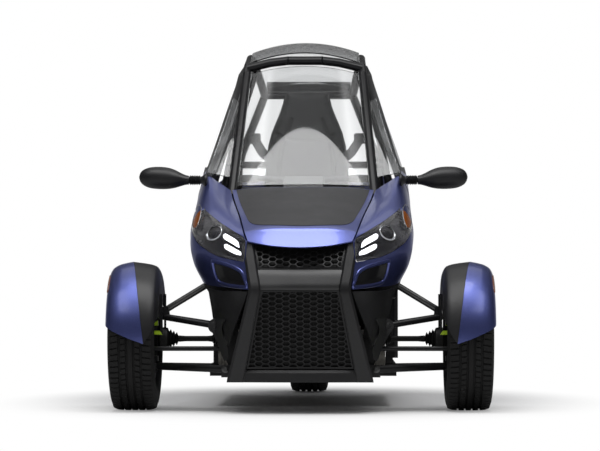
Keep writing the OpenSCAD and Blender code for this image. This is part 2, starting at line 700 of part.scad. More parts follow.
// Front frame, sills and rear frame
arm_gap = 2 * slab_t;
rack_r = handlebar_r * 0.8;
steer_arm_y = front_axle_y - brake_r * 0.95;
steer_arm_z = axle_z - 1.4 * spindle_r;
rack_z = steer_arm_z - arm_gap - rack_r;
rail_top = frame_z + rail_w;
front_rail_y = lower_bar_rear;
cross_y = cowl_y - rail_w;
sill_top = frame_z + rail_w * 1.25;
rear_cross_y = arm_pivot_y + rail_w / 2;
upper_rail_x = rail_x + rail_w - bracket_t / 2;
tower_x = upper_pivot_x + 4.5 * pivot_r;
tower_z = upper_joint_z + 16 * pivot_r;
ear_r = pivot_r * 3.2;
rear_top_z = floor_z + rail_w * 2;
tail_rail_z = tyre_d + rail_w * 1.3;
tail_rail_x = seat_half_w - rail_w / 4;
hinge_arm_x = sill_x - rail_w / 8;
shock_top_y = rear_cross_y + 2 * rail_w;
module front_rails() {
    block([rail_x, front_rail_y, frame_z], [rail_x + rail_w, cross_y + cut_over, rail_top]);
    block([upper_rail_x, front_axle_y - 4.5 * rail_w, upper_rail_z],
        [upper_rail_x + rail_w, cross_y + cut_over, upper_rail_z + rail_w]);
    block([upper_rail_x, cross_y, frame_z], [upper_rail_x + rail_w, cross_y + rail_w,
        cowl_beam_z - cut_over]);
    // Front bulkhead plate with the upper wishbone's ear
    plate_y(front_axle_y - upper_spread - 4 * pivot_r, bracket_t) union() {
        polygon([[rail_x, frame_z], [rail_x + rail_w, frame_z], [upper_rail_x + rail_w, rail_top + rail_w],
            [upper_pivot_x + ear_r * 0.8, upper_pivot_z - ear_r * 0.6],
            [upper_pivot_x, upper_pivot_z + ear_r], [upper_rail_x, upper_rail_z + rail_w], [rail_x,
                rail_top]]);
        translate([upper_pivot_x, upper_pivot_z]) circle(ear_r);
    }
    plate_y(front_axle_y + upper_spread + 4 * pivot_r - bracket_t, bracket_t) union() {
        polygon([[upper_rail_x, upper_rail_z], [upper_pivot_x, upper_pivot_z - ear_r],
            [upper_pivot_x, upper_pivot_z + ear_r], [upper_rail_x, upper_rail_z + rail_w]]);
        translate([upper_pivot_x, upper_pivot_z]) circle(ear_r);
    }
    for (s = [-1, 1]) {
        bar_y([upper_pivot_x, front_axle_y + s * upper_spread - 3.6 * pivot_r, upper_pivot_z],
            7.2 * pivot_r, pivot_r);
        bar_y([lower_pivot_x, front_axle_y + s * lower_spread - 3.6 * pivot_r, lower_pivot_z],
            7.2 * pivot_r, pivot_r);
        y = front_axle_y + s * (lower_spread + 3.5 * pivot_r) - bracket_t / 2;
        block([rail_x + rail_w - cut_over, y, frame_z + rail_w / 4],
            [lower_pivot_x + 2 * pivot_r, y + bracket_t, lower_pivot_z + 2 * pivot_r]);
    }
    // Tower that holds the upper end of the push rod
    for (s = [-1, 1])
        plate_y(front_axle_y + s * (2 * pivot_r + slab_t + bracket_t / 2) - bracket_t / 2,
            bracket_t) union() {
            polygon([[upper_rail_x, upper_rail_z], [upper_rail_x + rail_w, upper_rail_z + rail_w / 2],
                [tower_x + pivot_r * 2, tower_z - pivot_r], [tower_x, tower_z + pivot_r * 2],
                [upper_rail_x, upper_rail_z + 3 * rail_w]]);
            translate([tower_x, tower_z]) circle(pivot_r * 2.2);
        }
    bar_y([tower_x, front_axle_y - 3 * pivot_r, tower_z], 6 * pivot_r, pivot_r);
}
module sill_side() {
    block([sill_x, cross_y, frame_z], [sill_x + rail_w, rear_cross_y + rail_w, sill_top]);
    // Hinge post and its ears
    block([hinge_arm_x, cross_y, sill_top - cut_over],
        [hinge_arm_x + rail_w * 0.75, cross_y + rail_w, cowl_beam_z]);
    for (k = [0:1]) {
        for (s = [-1, 1]) {
            z = hinge_z(k) + s * (hinge_half + bracket_t * 0.75) - bracket_t / 2;
            block([hinge_arm_x + rail_w * 0.75 - cut_over, cross_y + rail_w / 4, z],
                [hinge_x - 3 * hinge_r, cross_y + rail_w, z + bracket_t]);
            block([hinge_x - 6 * hinge_r, cross_y + rail_w / 2, z],
                [hinge_x - 1.5 * hinge_r, hinge_y + 1.5 * hinge_r, z + bracket_t]);
            block([hinge_x - 3 * hinge_r, hinge_y - 2.5 * hinge_r, z],
                [hinge_x + 1.4 * hinge_r, hinge_y + 1.5 * hinge_r, z + bracket_t]);
        }
        translate([hinge_x, hinge_y, hinge_z(k) - hinge_half - bracket_t])
            cylinder(h = 2 * (hinge_half + bracket_t), r = hinge_r);
    }
    block([sill_x - rail_w, rear_cross_y, frame_z], [sill_x, rear_cross_y + rail_w,
        rear_top_z + 3 * rail_w]);
    block([tail_rail_x, rear_cross_y, rear_top_z + 2 * rail_w],
        [tail_rail_x + rail_w / 2, rear_cross_y + rail_w, tail_rail_z + rail_w / 2]);
    block([tail_rail_x, rear_cross_y, tail_rail_z],
        [tail_rail_x + rail_w / 2, tail_y - 2 * rail_w, tail_rail_z + rail_w / 2]);
    plate_x(arm_half_w + arm_r + slab_t, bracket_t)
        polygon([[arm_pivot_y - 1.5 * arm_r, arm_pivot_z - 1.5 * arm_r],
            [arm_pivot_y + 1.5 * arm_r, arm_pivot_z - 1.5 * arm_r],
            [rear_cross_y + rail_w, rear_top_z], [rear_cross_y + rail_w, rear_top_z + rail_w],
            [rear_cross_y, rear_top_z + rail_w], [arm_pivot_y - 1.5 * arm_r, arm_pivot_z + arm_r]]);
}
// Struts that hold the outer panels, each ending in a ball just inside the panel
module strut(from, g, i, j) {
    foot = inside(g, i, j, skin_t + strut_r * weld_share + rim_gap);
    rod(from, foot, strut_r);
    translate(foot) sphere(strut_r * weld_share);
}
module panel_struts() {
    post = [hinge_arm_x + rail_w / 2, cross_y + strut_r * 2, cowl_beam_z - 2 * rail_w];
    rail_front = [upper_rail_x + rail_w / 2, front_axle_y - 4.2 * rail_w, upper_rail_z + rail_w * 0.7];
    strut([hood_grid[1][7].x, cross_y + strut_r * 2, cowl_beam_z - strut_r * 2], hood_grid, 1, 7);
    strut(post, cheek_grid, 1, 8);
    strut(post - [0, 0, 5 * rail_w], cheek_grid, 1, 11);
    strut(rail_front, cowl_grid, 4, 3);
    strut([tail_rail_x + strut_r, quarter_grid[8][1].y, tail_rail_z + strut_r * 1.5], quarter_grid, 8, 1);
}
column_low = [0, cowl_y + rail_w * 0.75, seat_z];
column_top = [0, cowl_y + 5 * rail_w, seat_z + 8.6 * rail_w];
column_dir = unit(column_top - column_low);
module tail_cross() {
    reach = tail_rail_x + rail_w / 4;
    rider_back_y = rider_y + 2 * seat_half_len;
    end_y = tail_y - 3 * skin_t;
    block([-reach, rear_axle_y - rail_w / 4, tail_rail_z], [reach, rear_axle_y + rail_w / 4,
        tail_rail_z + rail_w / 2]);
    block([-rail_w / 4, rear_axle_y - rail_w / 4, axle_z + tyre_r + 4 * run_clear + fender_t + rim_gap],
        [rail_w / 4, rear_axle_y + rail_w / 4, tail_rail_z + cut_over]);
    block([-reach, rider_back_y + pad_t * 0.7, tail_rail_z],
        [reach, rider_back_y + pad_t, back_low(rider_z, rider_back_h, rider_lean)]);
    block([-reach, tail_y - 3 * rail_w, tail_rail_z], [reach, tail_y - 2 * rail_w,
        tail_rail_z + rail_w / 2]);
    block([-rail_w / 2, tail_y - 3 * rail_w, tail_rail_z], [rail_w / 2, end_y, tail_rail_z + rail_w / 2]);
    block([-rail_w / 2, end_y - rail_w / 2, tail_rail_z], [rail_w / 2, end_y, tail_rail_z + 3 * rail_w]);
}
module main_frame() {
    color(grey) difference() {
        union() {
            both() {
                front_rails();
                sill_side();
                panel_struts();
            }
            tail_cross();
            bar_x([-rail_x - rail_w, steer_arm_y, rack_z], 2 * (rail_x + rail_w), rack_r * 1.9);
            block([-sill_x - rail_w, cross_y, frame_z], [sill_x + rail_w, cross_y + rail_w, rail_top]);
            block([-rail_x - rail_w, front_rail_y, frame_z], [rail_x + rail_w, front_rail_y + rail_w,
                rail_top]);
            block([-sill_x - rail_w / 2, cross_y, cowl_beam_z - rail_w], [sill_x + rail_w / 2,
                cross_y + rail_w, cowl_beam_z]);
            block([-sill_x - rail_w, rear_cross_y, frame_z], [sill_x + rail_w, rear_cross_y + rail_w,
                sill_top]);
            block([-sill_x, rear_cross_y, rear_top_z], [sill_x, rear_cross_y + rail_w,
                rear_top_z + rail_w]);
            block([-sill_x, rear_cross_y, rear_top_z + 2 * rail_w], [sill_x, rear_cross_y + rail_w,
                rear_top_z + 3 * rail_w]);
            for (y = [cross_y + 5 * rail_w, rear_cross_y - 5 * rail_w])
                block([-sill_x - cut_over, y, frame_z], [sill_x + cut_over, y + rail_w,
                    frame_z + rail_w / 2]);
            bar_x([-arm_half_w - 2 * arm_r, arm_pivot_y, arm_pivot_z], 2 * arm_half_w + 4 * arm_r,
                rear_axle_r);
            rod(column_low + column_dir * rail_w, column_low + column_dir * rail_w * 4, column_r * 1.6);
            plate_x(-bracket_t, 2 * bracket_t)
                polygon([[cross_y, cowl_beam_z - rail_w], [cross_y + rail_w, cowl_beam_z - rail_w / 2],
                    [column_low.y + rail_w * 1.6, column_low.z + rail_w * 3.4],
                        [column_low.y + rail_w * 0.5, column_low.z + rail_w]]);
        }
        rod(column_low - column_dir * rail_w, column_low + column_dir * rail_w * 6, column_r + pin_clear);
        bar_x([-kingpin_x, steer_arm_y, rack_z], 2 * kingpin_x, rack_r + pin_clear);
    }
}
battery_z = frame_z + rail_w / 2;
floor_end_y = arm_pivot_y - 3 * arm_r;
module battery_box() {
    color(grey) block([run_clear - sill_x, cross_y + rail_w + run_clear, battery_z],
        [sill_x - run_clear, floor_end_y, battery_z + battery_h]);
}
seat_half_len = seat_half_w;
// Front edge of each seat's cushion
driver_y = cowl_y + nose_len * 0.545;
rider_y = driver_y + 2.95 * seat_half_w;
rider_z = seat_z + pad_t / 6;
base_t = pad_t * 0.85;
pedestal_share = 0.85;
driver_lean = pad_t;
rider_lean = pad_t * 0.6;
rider_back_h = seat_back_h * 0.85;
// Lowest edge of a seat's back
function back_low(z, tall, lean) = z + pad_t / 4 - pad_t * sin(atan2(lean, tall - pad_t / 4));
module floor_tub() {
    low_y = cross_y + rail_w;
    floor_half = sill_x + rail_w / 2;
    base_half = seat_half_w * pedestal_share;
    back_y = driver_y + 2 * seat_half_len;
    color(black) {
        block([-floor_half, low_y, floor_z], [floor_half, floor_end_y, floor_z + floor_t]);
        block([run_clear - sill_x, low_y, floor_z], [sill_x - run_clear, low_y + floor_t, seat_z - rail_w]);
        block([-base_half, driver_y + pad_t / 2, floor_z + floor_t - cut_over],
            [base_half, driver_y + seat_half_len * 1.8, seat_z - base_t]);
        block([-base_half, back_y + pad_t / 2, floor_z + floor_t - cut_over],
            [base_half, back_y + pad_t, back_low(seat_z, seat_back_h, driver_lean)]);
        block([-base_half, rider_y, floor_z + floor_t - cut_over], [base_half, floor_end_y,
            rider_z - base_t]);
    }
}

// Drive unit: gearbox between the rails, a finned motor and an output on each side
gear_half_w = rail_x + rail_w / 3;
motor_y = front_axle_y + 2 * rail_w;
motor_z = rail_top + motor_r + slab_t * 2;
cup_x = lower_pivot_x;
module drive_unit() {
    color(grey) {
        block([-gear_half_w, front_axle_y - rail_w * 1.75, rail_top], [gear_half_w,
            front_axle_y + rail_w * 3, upper_rail_z - run_clear]);
        both() {
            bar_x([gear_half_w - cut_over, front_axle_y, axle_z], cup_x - gear_half_w + cut_over,
                cup_r * 0.85);
            bar_x([gear_half_w - cut_over, motor_y, motor_z], upper_pivot_x - gear_half_w, motor_r * 0.86);
            for (k = [1:fin_count])
                bar_x([mix(gear_half_w, upper_pivot_x, k / (fin_count + 1)), motor_y, motor_z], fin_t,
                    motor_r);
        }
    }
}
boot_x = kingpin_x - 2.2 * cup_r;
cup_end_x = kingpin_x - cup_r * 0.55;
boot_folds = 4;
module half_shaft() {
    bar_x([cup_x, front_axle_y, axle_z], cup_r, cup_r * 0.8);
    bar_x([cup_x + cup_r - cut_over, front_axle_y, axle_z], boot_x - cup_x - cup_r + 2 * cut_over, shaft_r);
    fold = (cup_end_x - boot_x) / boot_folds;
    translate([boot_x, front_axle_y, axle_z])
        rotate([0, 90, 0])
        rotate_extrude()
        polygon(concat([[0, 0], [shaft_r * 1.3, 0]],
            [for (k = [1:2 * boot_folds])
                [mix(shaft_r * 1.4, cup_r, k / (2 * boot_folds)) - (k % 2) * shaft_r / 3, k * fold / 2]],
            [[0, cup_end_x - boot_x]]));
}
module half_shafts() {
    color(black) both() half_shaft();
}

// Wishbones, with a ring at the steering pivot and a sleeve at each inner pivot
ring_h = 2.2 * kingpin_r;
module wishbone(joint_z, pivot_x, pivot_z, spread, r) {
    joint = [kingpin_x, front_axle_y, joint_z];
    difference() {
        union() {
            translate(joint - [0, 0, ring_h / 2]) cylinder(h = ring_h, r = 2.1 * kingpin_r);
            for (s = [-1, 1]) {
                pivot = [pivot_x, front_axle_y + s * spread, pivot_z];
                aim = unit(pivot - joint);
                rod(joint + aim * kingpin_r * 1.6, pivot - aim * pivot_r * 1.5, r);
                bar_y(pivot - [0, 2.2 * pivot_r, 0], 4.4 * pivot_r, 2 * pivot_r);
            }
        }
        translate(joint - [0, 0, ring_h]) cylinder(h = 2 * ring_h, r = kingpin_r + pin_clear);
        for (s = [-1, 1])
            bar_y([pivot_x, front_axle_y + s * spread - 4 * pivot_r, pivot_z], 8 * pivot_r,
                pivot_r + pin_clear);
    }
}
// Push rod from the upper wishbone to the tower
rod_foot_share = 0.17;
rod_foot = mix([kingpin_x, front_axle_y, upper_joint_z], [upper_pivot_x, front_axle_y, upper_pivot_z],
    rod_foot_share)
    + [0, 0, upper_arm_r + pivot_r * 2];
module upper_wishbones() {
    color(black) both() difference() {
        union() {
            wishbone(upper_joint_z, upper_pivot_x, upper_pivot_z, upper_spread, upper_arm_r);
            for (s = [-1, 1])
                translate([0, s * (2 * pivot_r + bracket_t / 2 + slab_t), 0])
                plate_y(front_axle_y - bracket_t / 2, bracket_t)
                    polygon([[rod_foot.x - 2 * pivot_r, rod_foot.z - 3 * pivot_r],
                        [rod_foot.x + 2 * pivot_r, rod_foot.z - 3 * pivot_r],
                        [rod_foot.x + 1.5 * pivot_r, rod_foot.z + 1.6 * pivot_r],
                            [rod_foot.x - 1.5 * pivot_r, rod_foot.z + 1.6 * pivot_r]]);
            bar_y([rod_foot.x, front_axle_y - 3 * pivot_r, rod_foot.z], 6 * pivot_r, pivot_r);
        }
    }
}
module lower_wishbones() {
    color(black) both() wishbone(lower_joint_z, lower_pivot_x, lower_pivot_z, lower_spread, lower_arm_r);
}
module pushrod() {
    top = [tower_x, front_axle_y, tower_z];
    difference() {
        union() {
            rod(rod_foot, top, upper_arm_r);
            for (p = [rod_foot, top]) bar_y(p - [0, 1.8 * pivot_r, 0], 3.6 * pivot_r, 1.9 * pivot_r);
        }
        for (p = [rod_foot, top]) bar_y(p - [0, 4 * pivot_r, 0], 8 * pivot_r, pivot_r + pin_clear);
    }
}
module pushrods() {
    color(grey) both() pushrod();
}

liner_x = wheel_x - tyre_w / 2 - 2.5 * run_clear;
// Steering knuckle, left side: upright, two pivot pins, stub axle, steering arm, caliper and fender stays
upright_x = kingpin_x + 2.8 * kingpin_r;
boss_end_x = wheel_x - spindle_r / 4;
hub_gap = run_clear;
spindle_end_x = wheel_x + 3.6 * spindle_r;
stay_arm_z = axle_z + spindle_r;

stay_x = liner_x - bracket_t - rim_gap;
stay_top_z = axle_z + fender_r * 0.58;
stay_spread = upper_spread;
module knuckle() {
    half = 2.2 * kingpin_r;
    low_top = lower_joint_z + ring_h / 2 + 2.5 * arm_gap;
    high_low = upper_joint_z - ring_h / 2 - 2.5 * arm_gap;
    arm_h = 2 * kingpin_r;
    block([upright_x, front_axle_y - half, low_top], [upright_x + 2.4 * kingpin_r, front_axle_y + half,
        high_low]);
    block([kingpin_x - kingpin_r * 1.3, front_axle_y - half * 0.8, low_top], [upright_x + cut_over,
        front_axle_y + half * 0.8, low_top + arm_h]);
    block([kingpin_x - kingpin_r * 1.3, front_axle_y - half * 0.8, high_low - arm_h],
        [upright_x + cut_over, front_axle_y + half * 0.8, high_low]);
    translate([kingpin_x, front_axle_y,
        lower_joint_z - ring_h]) cylinder(h = low_top - lower_joint_z + ring_h + cut_over, r = kingpin_r);
    translate([kingpin_x, front_axle_y,
        high_low - cut_over]) cylinder(h = upper_joint_z + ring_h - high_low, r = kingpin_r);
    bar_x([upright_x, front_axle_y, axle_z], boss_end_x - upright_x, 2.4 * spindle_r);
    bar_x([boss_end_x - cut_over, front_axle_y, axle_z], spindle_end_x - boss_end_x + cut_over, spindle_r);
    // Steering arm to the front, and an arm each way that carries the fender
    block([upright_x, steer_arm_y - kingpin_r * 2, steer_arm_z],
        [upright_x + kingpin_r * 1.6, front_axle_y, steer_arm_z + kingpin_r * 1.4]);
    block([upright_x, front_axle_y - stay_spread - kingpin_r, stay_arm_z],
        [upright_x + kingpin_r * 1.6, front_axle_y + stay_spread + kingpin_r,
            stay_arm_z + kingpin_r * 1.4]);
    for (s = [-1, 1]) {
        y = front_axle_y + s * stay_spread;
        block([stay_x, y - kingpin_r, stay_arm_z], [stay_x + bracket_t, y + kingpin_r, stay_top_z]);
        block([stay_x, y - kingpin_r, stay_arm_z], [upright_x + cut_over, y + kingpin_r,
            stay_arm_z + kingpin_r * 1.4]);
    }
}
module caliper() {
    difference() {
        block([boss_end_x - 2 * run_clear, front_axle_y + brake_r * 0.45, axle_z + brake_r * 0.35],
            [boss_end_x + 6 * run_clear, front_axle_y + brake_r * 0.95, axle_z + brake_r * 0.95]);
        bar_x([boss_end_x + hub_gap - run_clear, front_axle_y, axle_z], 2 * run_clear + disc_t,
            brake_r + run_clear);
        bar_x([boss_end_x - brake_r, front_axle_y, axle_z], 2 * brake_r, brake_r * 0.6);
    }
    block([upright_x, front_axle_y + brake_r * 0.5, stay_arm_z + kingpin_r], [boss_end_x - run_clear,
        front_axle_y + brake_r * 0.8, axle_z + brake_r * 0.8]);
}
module left_knuckle() {
    color(lime) {
        knuckle();
        caliper();
    }
}
module right_knuckle() {
    color(lime) mirror([1, 0, 0]) {
        knuckle();
        caliper();
    }
}

// Fenders: angle from the front over the top, with the ridge between the painted and the black part
ridge_top_x = wheel_x + tyre_w * 0.06;
ridge_low_x = wheel_x - tyre_w * 0.16;
fender_end = 150;
ridge_start = -3;
outer_start = 15;
function fender_spot(a, x, r) = [x, front_axle_y - r * cos(a), axle_z + r * sin(a)];
function ridge_x(a) = mix(ridge_low_x, ridge_top_x, min(1, (a - ridge_start) / (90 - ridge_start)));
// Share of the way from the ridge to the outer edge, and share of the ridge's radius
outer_shares = [[0, 1], [0.35, 0.99], [0.72, 0.962], [0.94, 0.875], [1, 0.77]];
liner_shares = [[0, 1], [0.55, 0.985], [0.84, 0.95], [1, 0.86], [1, 0.68], [1, 0.5]];
fender_steps = 16;
fender_cols = 6;
module outer_fender() {
    sheet([for (i = [0:fender_steps]) [for (j = [0:fender_cols])
        let (s = curve(outer_shares, j / fender_cols),
            a = mix(mix(ridge_start, outer_start, j / fender_cols), fender_end, i / fender_steps))
        fender_spot(a, mix(ridge_x(a), fender_half_w, s.x), fender_r * s.y)]], -fender_t);
}
module inner_fender() {
    sheet([for (i = [0:fender_steps]) [for (j = [0:fender_cols])
        let (s = curve(liner_shares, j / fender_cols),
            a = mix(mix(ridge_start, outer_start * 2, j / fender_cols), fender_end, i / fender_steps))
        fender_spot(a, mix(ridge_x(a) - slab_t / 2, liner_x, s.x), fender_r * s.y)]], fender_t);
}
module left_fender() {
    color(paint) outer_fender();
}
module right_fender() {
    color(paint) mirror([1, 0, 0]) outer_fender();
}
module left_fender_liner() {
    color(black) inner_fender();
}
module right_fender_liner() {
    color(black) mirror([1, 0, 0]) inner_fender();
}

// Wheels, built along X about their own centre
rim_r = rim_d / 2;
// Tyre half section: share of the half width and share of the way from the bead to the tread
tyre_shares = [[0.74, 0], [0.9, 0.12], [0.99, 0.38], [1, 0.55], [0.97, 0.75], [0.89, 0.9], [0.78, 0.965],
    [0.6, 0.992]];
// Grooves from the shoulder to the middle: the same two columns, at a groove's middle
groove_shares = [[0.46, 0.997], [0.15, 1]];
function tyre_spot(p) = [mix(rim_r + rim_gap, tyre_r, p[1]), p[0] * tyre_w / 2];
function groove(at) = [at + [0, groove_w / 2], at + [-groove_d, groove_w / 3],
    at + [-groove_d, -groove_w / 3], at - [0, groove_w / 2]];
module tyre(at) {
    half = concat([for (p = tyre_shares) tyre_spot(p)], [for (p = groove_shares) each groove(tyre_spot(p))]);
    translate(at)
        rotate([0, 90, 0])
        rotate_extrude($fn = 96)
        polygon(concat(half, [for (k = [len(half) - 1:-1:0]) [half[k].x, -half[k].y]]));
}
rim_half_w = tyre_w * 0.4;
hub_r = spindle_r * 2.4;
module wheel(at, bore_r, face_x, hub_low, hub_high) {
    translate(at) rotate([0, 90, 0]) difference() {
        union() {
            rotate_extrude($fn = 96)
                polygon([[rim_r, -rim_half_w], [rim_r, rim_half_w], [rim_r - barrel_t, rim_half_w],
                    [rim_r - barrel_t * 2, rim_half_w * 0.6], [rim_r - barrel_t * 2,
                        -rim_half_w * 0.6], [rim_r - barrel_t, -rim_half_w]]);
            translate([0, 0, hub_low]) cylinder(h = hub_high - hub_low, r = hub_r);
            for (k = [0:spoke_count - 1])
                rotate([0, 0, 360 * k / spoke_count])
                translate([0, -face_t / 2, face_x - face_t])
                cube([rim_r - barrel_t * 1.5, face_t, face_t]);
        }
        translate([0, 0, -tyre_w]) cylinder(h = 2 * tyre_w, r = bore_r);
    }
}
front_hub_low = boss_end_x + hub_gap - wheel_x;
module front_wheel() {
    wheel([wheel_x, front_axle_y, axle_z], spindle_r + pin_clear, rim_half_w * 0.75, front_hub_low,
        rim_half_w * 0.82);
    difference() {
        bar_x([boss_end_x + hub_gap, front_axle_y, axle_z], disc_t, brake_r);
        bar_x([boss_end_x, front_axle_y, axle_z], tyre_w, hub_r - cut_over);
    }
}
module left_tyre() {
    color(rubber) tyre([wheel_x, front_axle_y, axle_z]);
}
module right_tyre() {
    color(rubber) tyre([-wheel_x, front_axle_y, axle_z]);
}
module rear_tyre() {
    color(rubber) tyre([0, rear_axle_y, axle_z]);
}
module left_wheel() {
    color(grey) front_wheel();
}
module right_wheel() {
    color(grey) mirror([1, 0, 0]) front_wheel();
}
module rear_wheel() {
    color(grey) wheel([0, rear_axle_y, axle_z], rear_axle_r + pin_clear, rim_half_w * 0.3,
        -rim_half_w * 0.9, rim_half_w * 0.9);
}

// Steering: handlebar on its column, and the rack with its tie rods
bar_centre = column_low + column_dir * rail_w * 8.6;
module handlebar() {
    tip = [handlebar_half_w, bar_centre.y + rail_w, bar_centre.z + rail_w * 0.4];
    elbow = [handlebar_half_w * 0.55, bar_centre.y, bar_centre.z + rail_w * 0.4];
    color(black) {
        rod(column_low, bar_centre, column_r);
        translate(bar_centre) sphere(column_r * weld_share);
        both() {
            bent_tube([bar_centre, elbow, tip], handlebar_r, rail_w / 2);
            rod(mix(elbow, tip, 0.35), tip + unit(tip - elbow) * handlebar_r / 2, handlebar_r * 1.35);
        }
    }
}
module steering_rack() {
    color(grey) {
        rod([-kingpin_x - kingpin_r, steer_arm_y, rack_z], [kingpin_x + kingpin_r, steer_arm_y,
            rack_z], rack_r);
    }
}
// Seats: share of the back's height, of the half width, and of the side bolsters' depth
back_shares = [[1, 0.45, 0.3], [0.86, 0.62, 0.6], [0.66, 0.86, 0.8], [0.3, 0.94, 1], [0, 1, 1]];
cushion_shares = [[0.97, 0], [0.5, 0.12], [0, 0.2]];
module seat(y, z, half_w, tall, lean) {
    back_y = y + 2 * seat_half_len;
    low_z = z + pad_t / 4;
    rise = tall - pad_t / 4;
    back = mirrored([for (p = back_shares) [for (k = [0:2])
        [half_w * p[1] * k / 2, back_y + lean * p[0] - pad_t * 0.3 * p[2] * k * k / 4,
            low_z + rise * p[0]]]]);
    sheet(patch(back, 12, 8), pad_t);
    base = mirrored([for (p = cushion_shares) [for (k = [0:2])
        [half_w * k / 2, y + 2 * seat_half_len * p[0] - pad_t / 5 * p[0],
            z + pad_t * (p[1] - 0.15 * (1 - k / 2))]]]);
    pad(patch(base, 8, 8), z - base_t);
}
module driver_seat() {
    color(black) seat(driver_y, seat_z, seat_half_w, seat_back_h, driver_lean);
}
module passenger_seat() {
    color(black) seat(rider_y, rider_z, seat_half_w * 0.9, rider_back_h, rider_lean);
}
dash_low = cowl_beam_z;
module dashboard() {
    color(black) plate_x(-pillar_foot.x + 2.2 * cage_r, 2 * pillar_foot.x - 4.4 * cage_r)
        polygon([[cross_y + rail_w / 2, dash_low], [cross_y + rail_w / 2, dash_low + rail_w],
            [cross_y + rail_w, dash_low + rail_w * 1.3],
            [cross_y + rail_w * 3, dash_low + rail_w * 1.2], [cross_y + rail_w * 3.2,
                dash_low + rail_w * 0.4], [cross_y + rail_w * 2.5, dash_low]]);
}

// Tail
module rear_crossbeam() {
    color(paint) plate_x(-rail_end.x + cage_r / 2, 2 * rail_end.x - cage_r)
        polygon([[rail_end.y - cage_r, rail_end.z + cage_r + slab_t], [rail_end.y + 2 * cage_r,
            rail_end.z + cage_r],
            [rail_end.y + 3 * cage_r, rail_end.z + 2 * cage_r], [rail_end.y + cage_r,
                rail_end.z + 3.4 * cage_r], [rail_end.y - cage_r, rail_end.z + 3.6 * cage_r]]);
}
module quarter_panels() {
    color(paint) both() sheet(quarter_grid, skin_t);
}
deck_crown = rail_w;
module rear_deck() {
    color(paint) sheet([for (i = [0:8]) [for (j = [4:-1:-4])
        let (e = curve([for (row = quarter_net) row[3]], mix(0.62, 1, i / 8)), k = j / 4)
        [k * (e.x - skin_t), e.y, e.z + deck_crown * (1 - k * k)]]], skin_t);
}
module tail_panel() {
    color(black) plate_y(tail_y - 3 * skin_t, skin_t)
        polygon([[-tail_half_w, cowl_z * 0.76], [tail_half_w, cowl_z * 0.76], [tail_half_w, cowl_z],
            [-tail_half_w, cowl_z]]);
}
module tail_lamps() {
    color(lamp_red) both()
        bar_y([tail_half_w - 1.4 * tail_lamp_r, tail_y - skin_t * 2, cowl_z * 0.9], skin_t * 2,
            tail_lamp_r);
}
module swing_arm() {
    pivot = [arm_half_w, arm_pivot_y, arm_pivot_z];
    color(black) difference() {
        union() {
            bar_x([-arm_half_w - arm_r, arm_pivot_y, arm_pivot_z], 2 * (arm_half_w + arm_r), arm_r * 1.4);
            both() rod(pivot, [arm_half_w, rear_axle_y, axle_z], arm_r);
            both() bar_x([arm_half_w - arm_r, rear_axle_y, axle_z], 2 * arm_r, arm_r * 1.5);
            bar_x([-arm_half_w, rear_axle_y, axle_z], 2 * arm_half_w, rear_axle_r);
        }
        bar_x([-2 * arm_half_w, arm_pivot_y, arm_pivot_z], 4 * arm_half_w, rear_axle_r + pin_clear);
    }
}
coil_count = 9;
module rear_shock() {
    foot = [arm_half_w, rear_axle_y - 4.6 * rail_w, axle_z + arm_r * 2.83];
    top = [arm_half_w, rear_cross_y + rail_w * 1.45, rear_top_z + 2.5 * rail_w];
    low = mix(foot, top, 0.22);
    high = mix(foot, top, 0.78);
    color(grey) both() {
        rod(foot, high, arm_r * 0.85);
        rod(foot, low, arm_r * 1.2);
        rod(high, top, arm_r * 1.2);
        for (k = [1:coil_count - 1])
            rod(mix(low, high, (k - 0.25) / coil_count), mix(low, high, (k + 0.25) / coil_count),
                arm_r * 1.2);
    }
}
module rear_fender() {
    color(black) sheet([for (i = [0:16]) [for (j = [4:-1:-4])
        let (a = mix(35, 165, i / 16), r = tyre_r + 4 * run_clear - 3 * run_clear * pow(j / 4, 4))
        [j / 4 * (tyre_w / 2 + 2 * run_clear), rear_axle_y - r * cos(a), axle_z + r * sin(a)]]], -fender_t);
}
// Mirror's shell: share of its length from the stalk outward, and share of its radius
mirror_shares = [[0, 0], [0.02, 0.55], [0.2, 0.88], [0.5, 1.1], [0.8, 0.98], [0.97, 0.6], [1, 0]];
mirror_steps = 14;
mirror_foot_share = 0.66;
boot_ribs = 5;
rib_share = 0.3;
module door_mirror() {
    base = inside(cheek_grid, 1, 5, -handlebar_r * mirror_foot_share);
    tip = [wheel_x, base.y, base.z];
    neck = [kingpin_x - 2.6 * rail_w, base.y, base.z];
    rod(base, mix(neck, tip, 0.15), handlebar_r);
    for (k = [1:boot_ribs])
        bar_x(mix(base, neck, mix(rib_share, 1, k / (boot_ribs + 1))), handlebar_r * 0.4, handlebar_r * 1.3);
    difference() {
        translate(neck)
            rotate([0, 90, 0])
            rotate_extrude()
            polygon([for (k = [0:mirror_steps])
                let (p = curve(mirror_shares, k / mirror_steps))
                [max(0, p[1]) * mirror_r, p[0] * (tip.x - neck.x)]]);
        block([neck.x - mirror_r, neck.y + mirror_r * 0.45, neck.z - 2 * mirror_r],
            [tip.x + mirror_r, neck.y + 2 * mirror_r, neck.z + 2 * mirror_r]);
    }
}
module mirrors() {
    color(black) both() door_mirror();
}

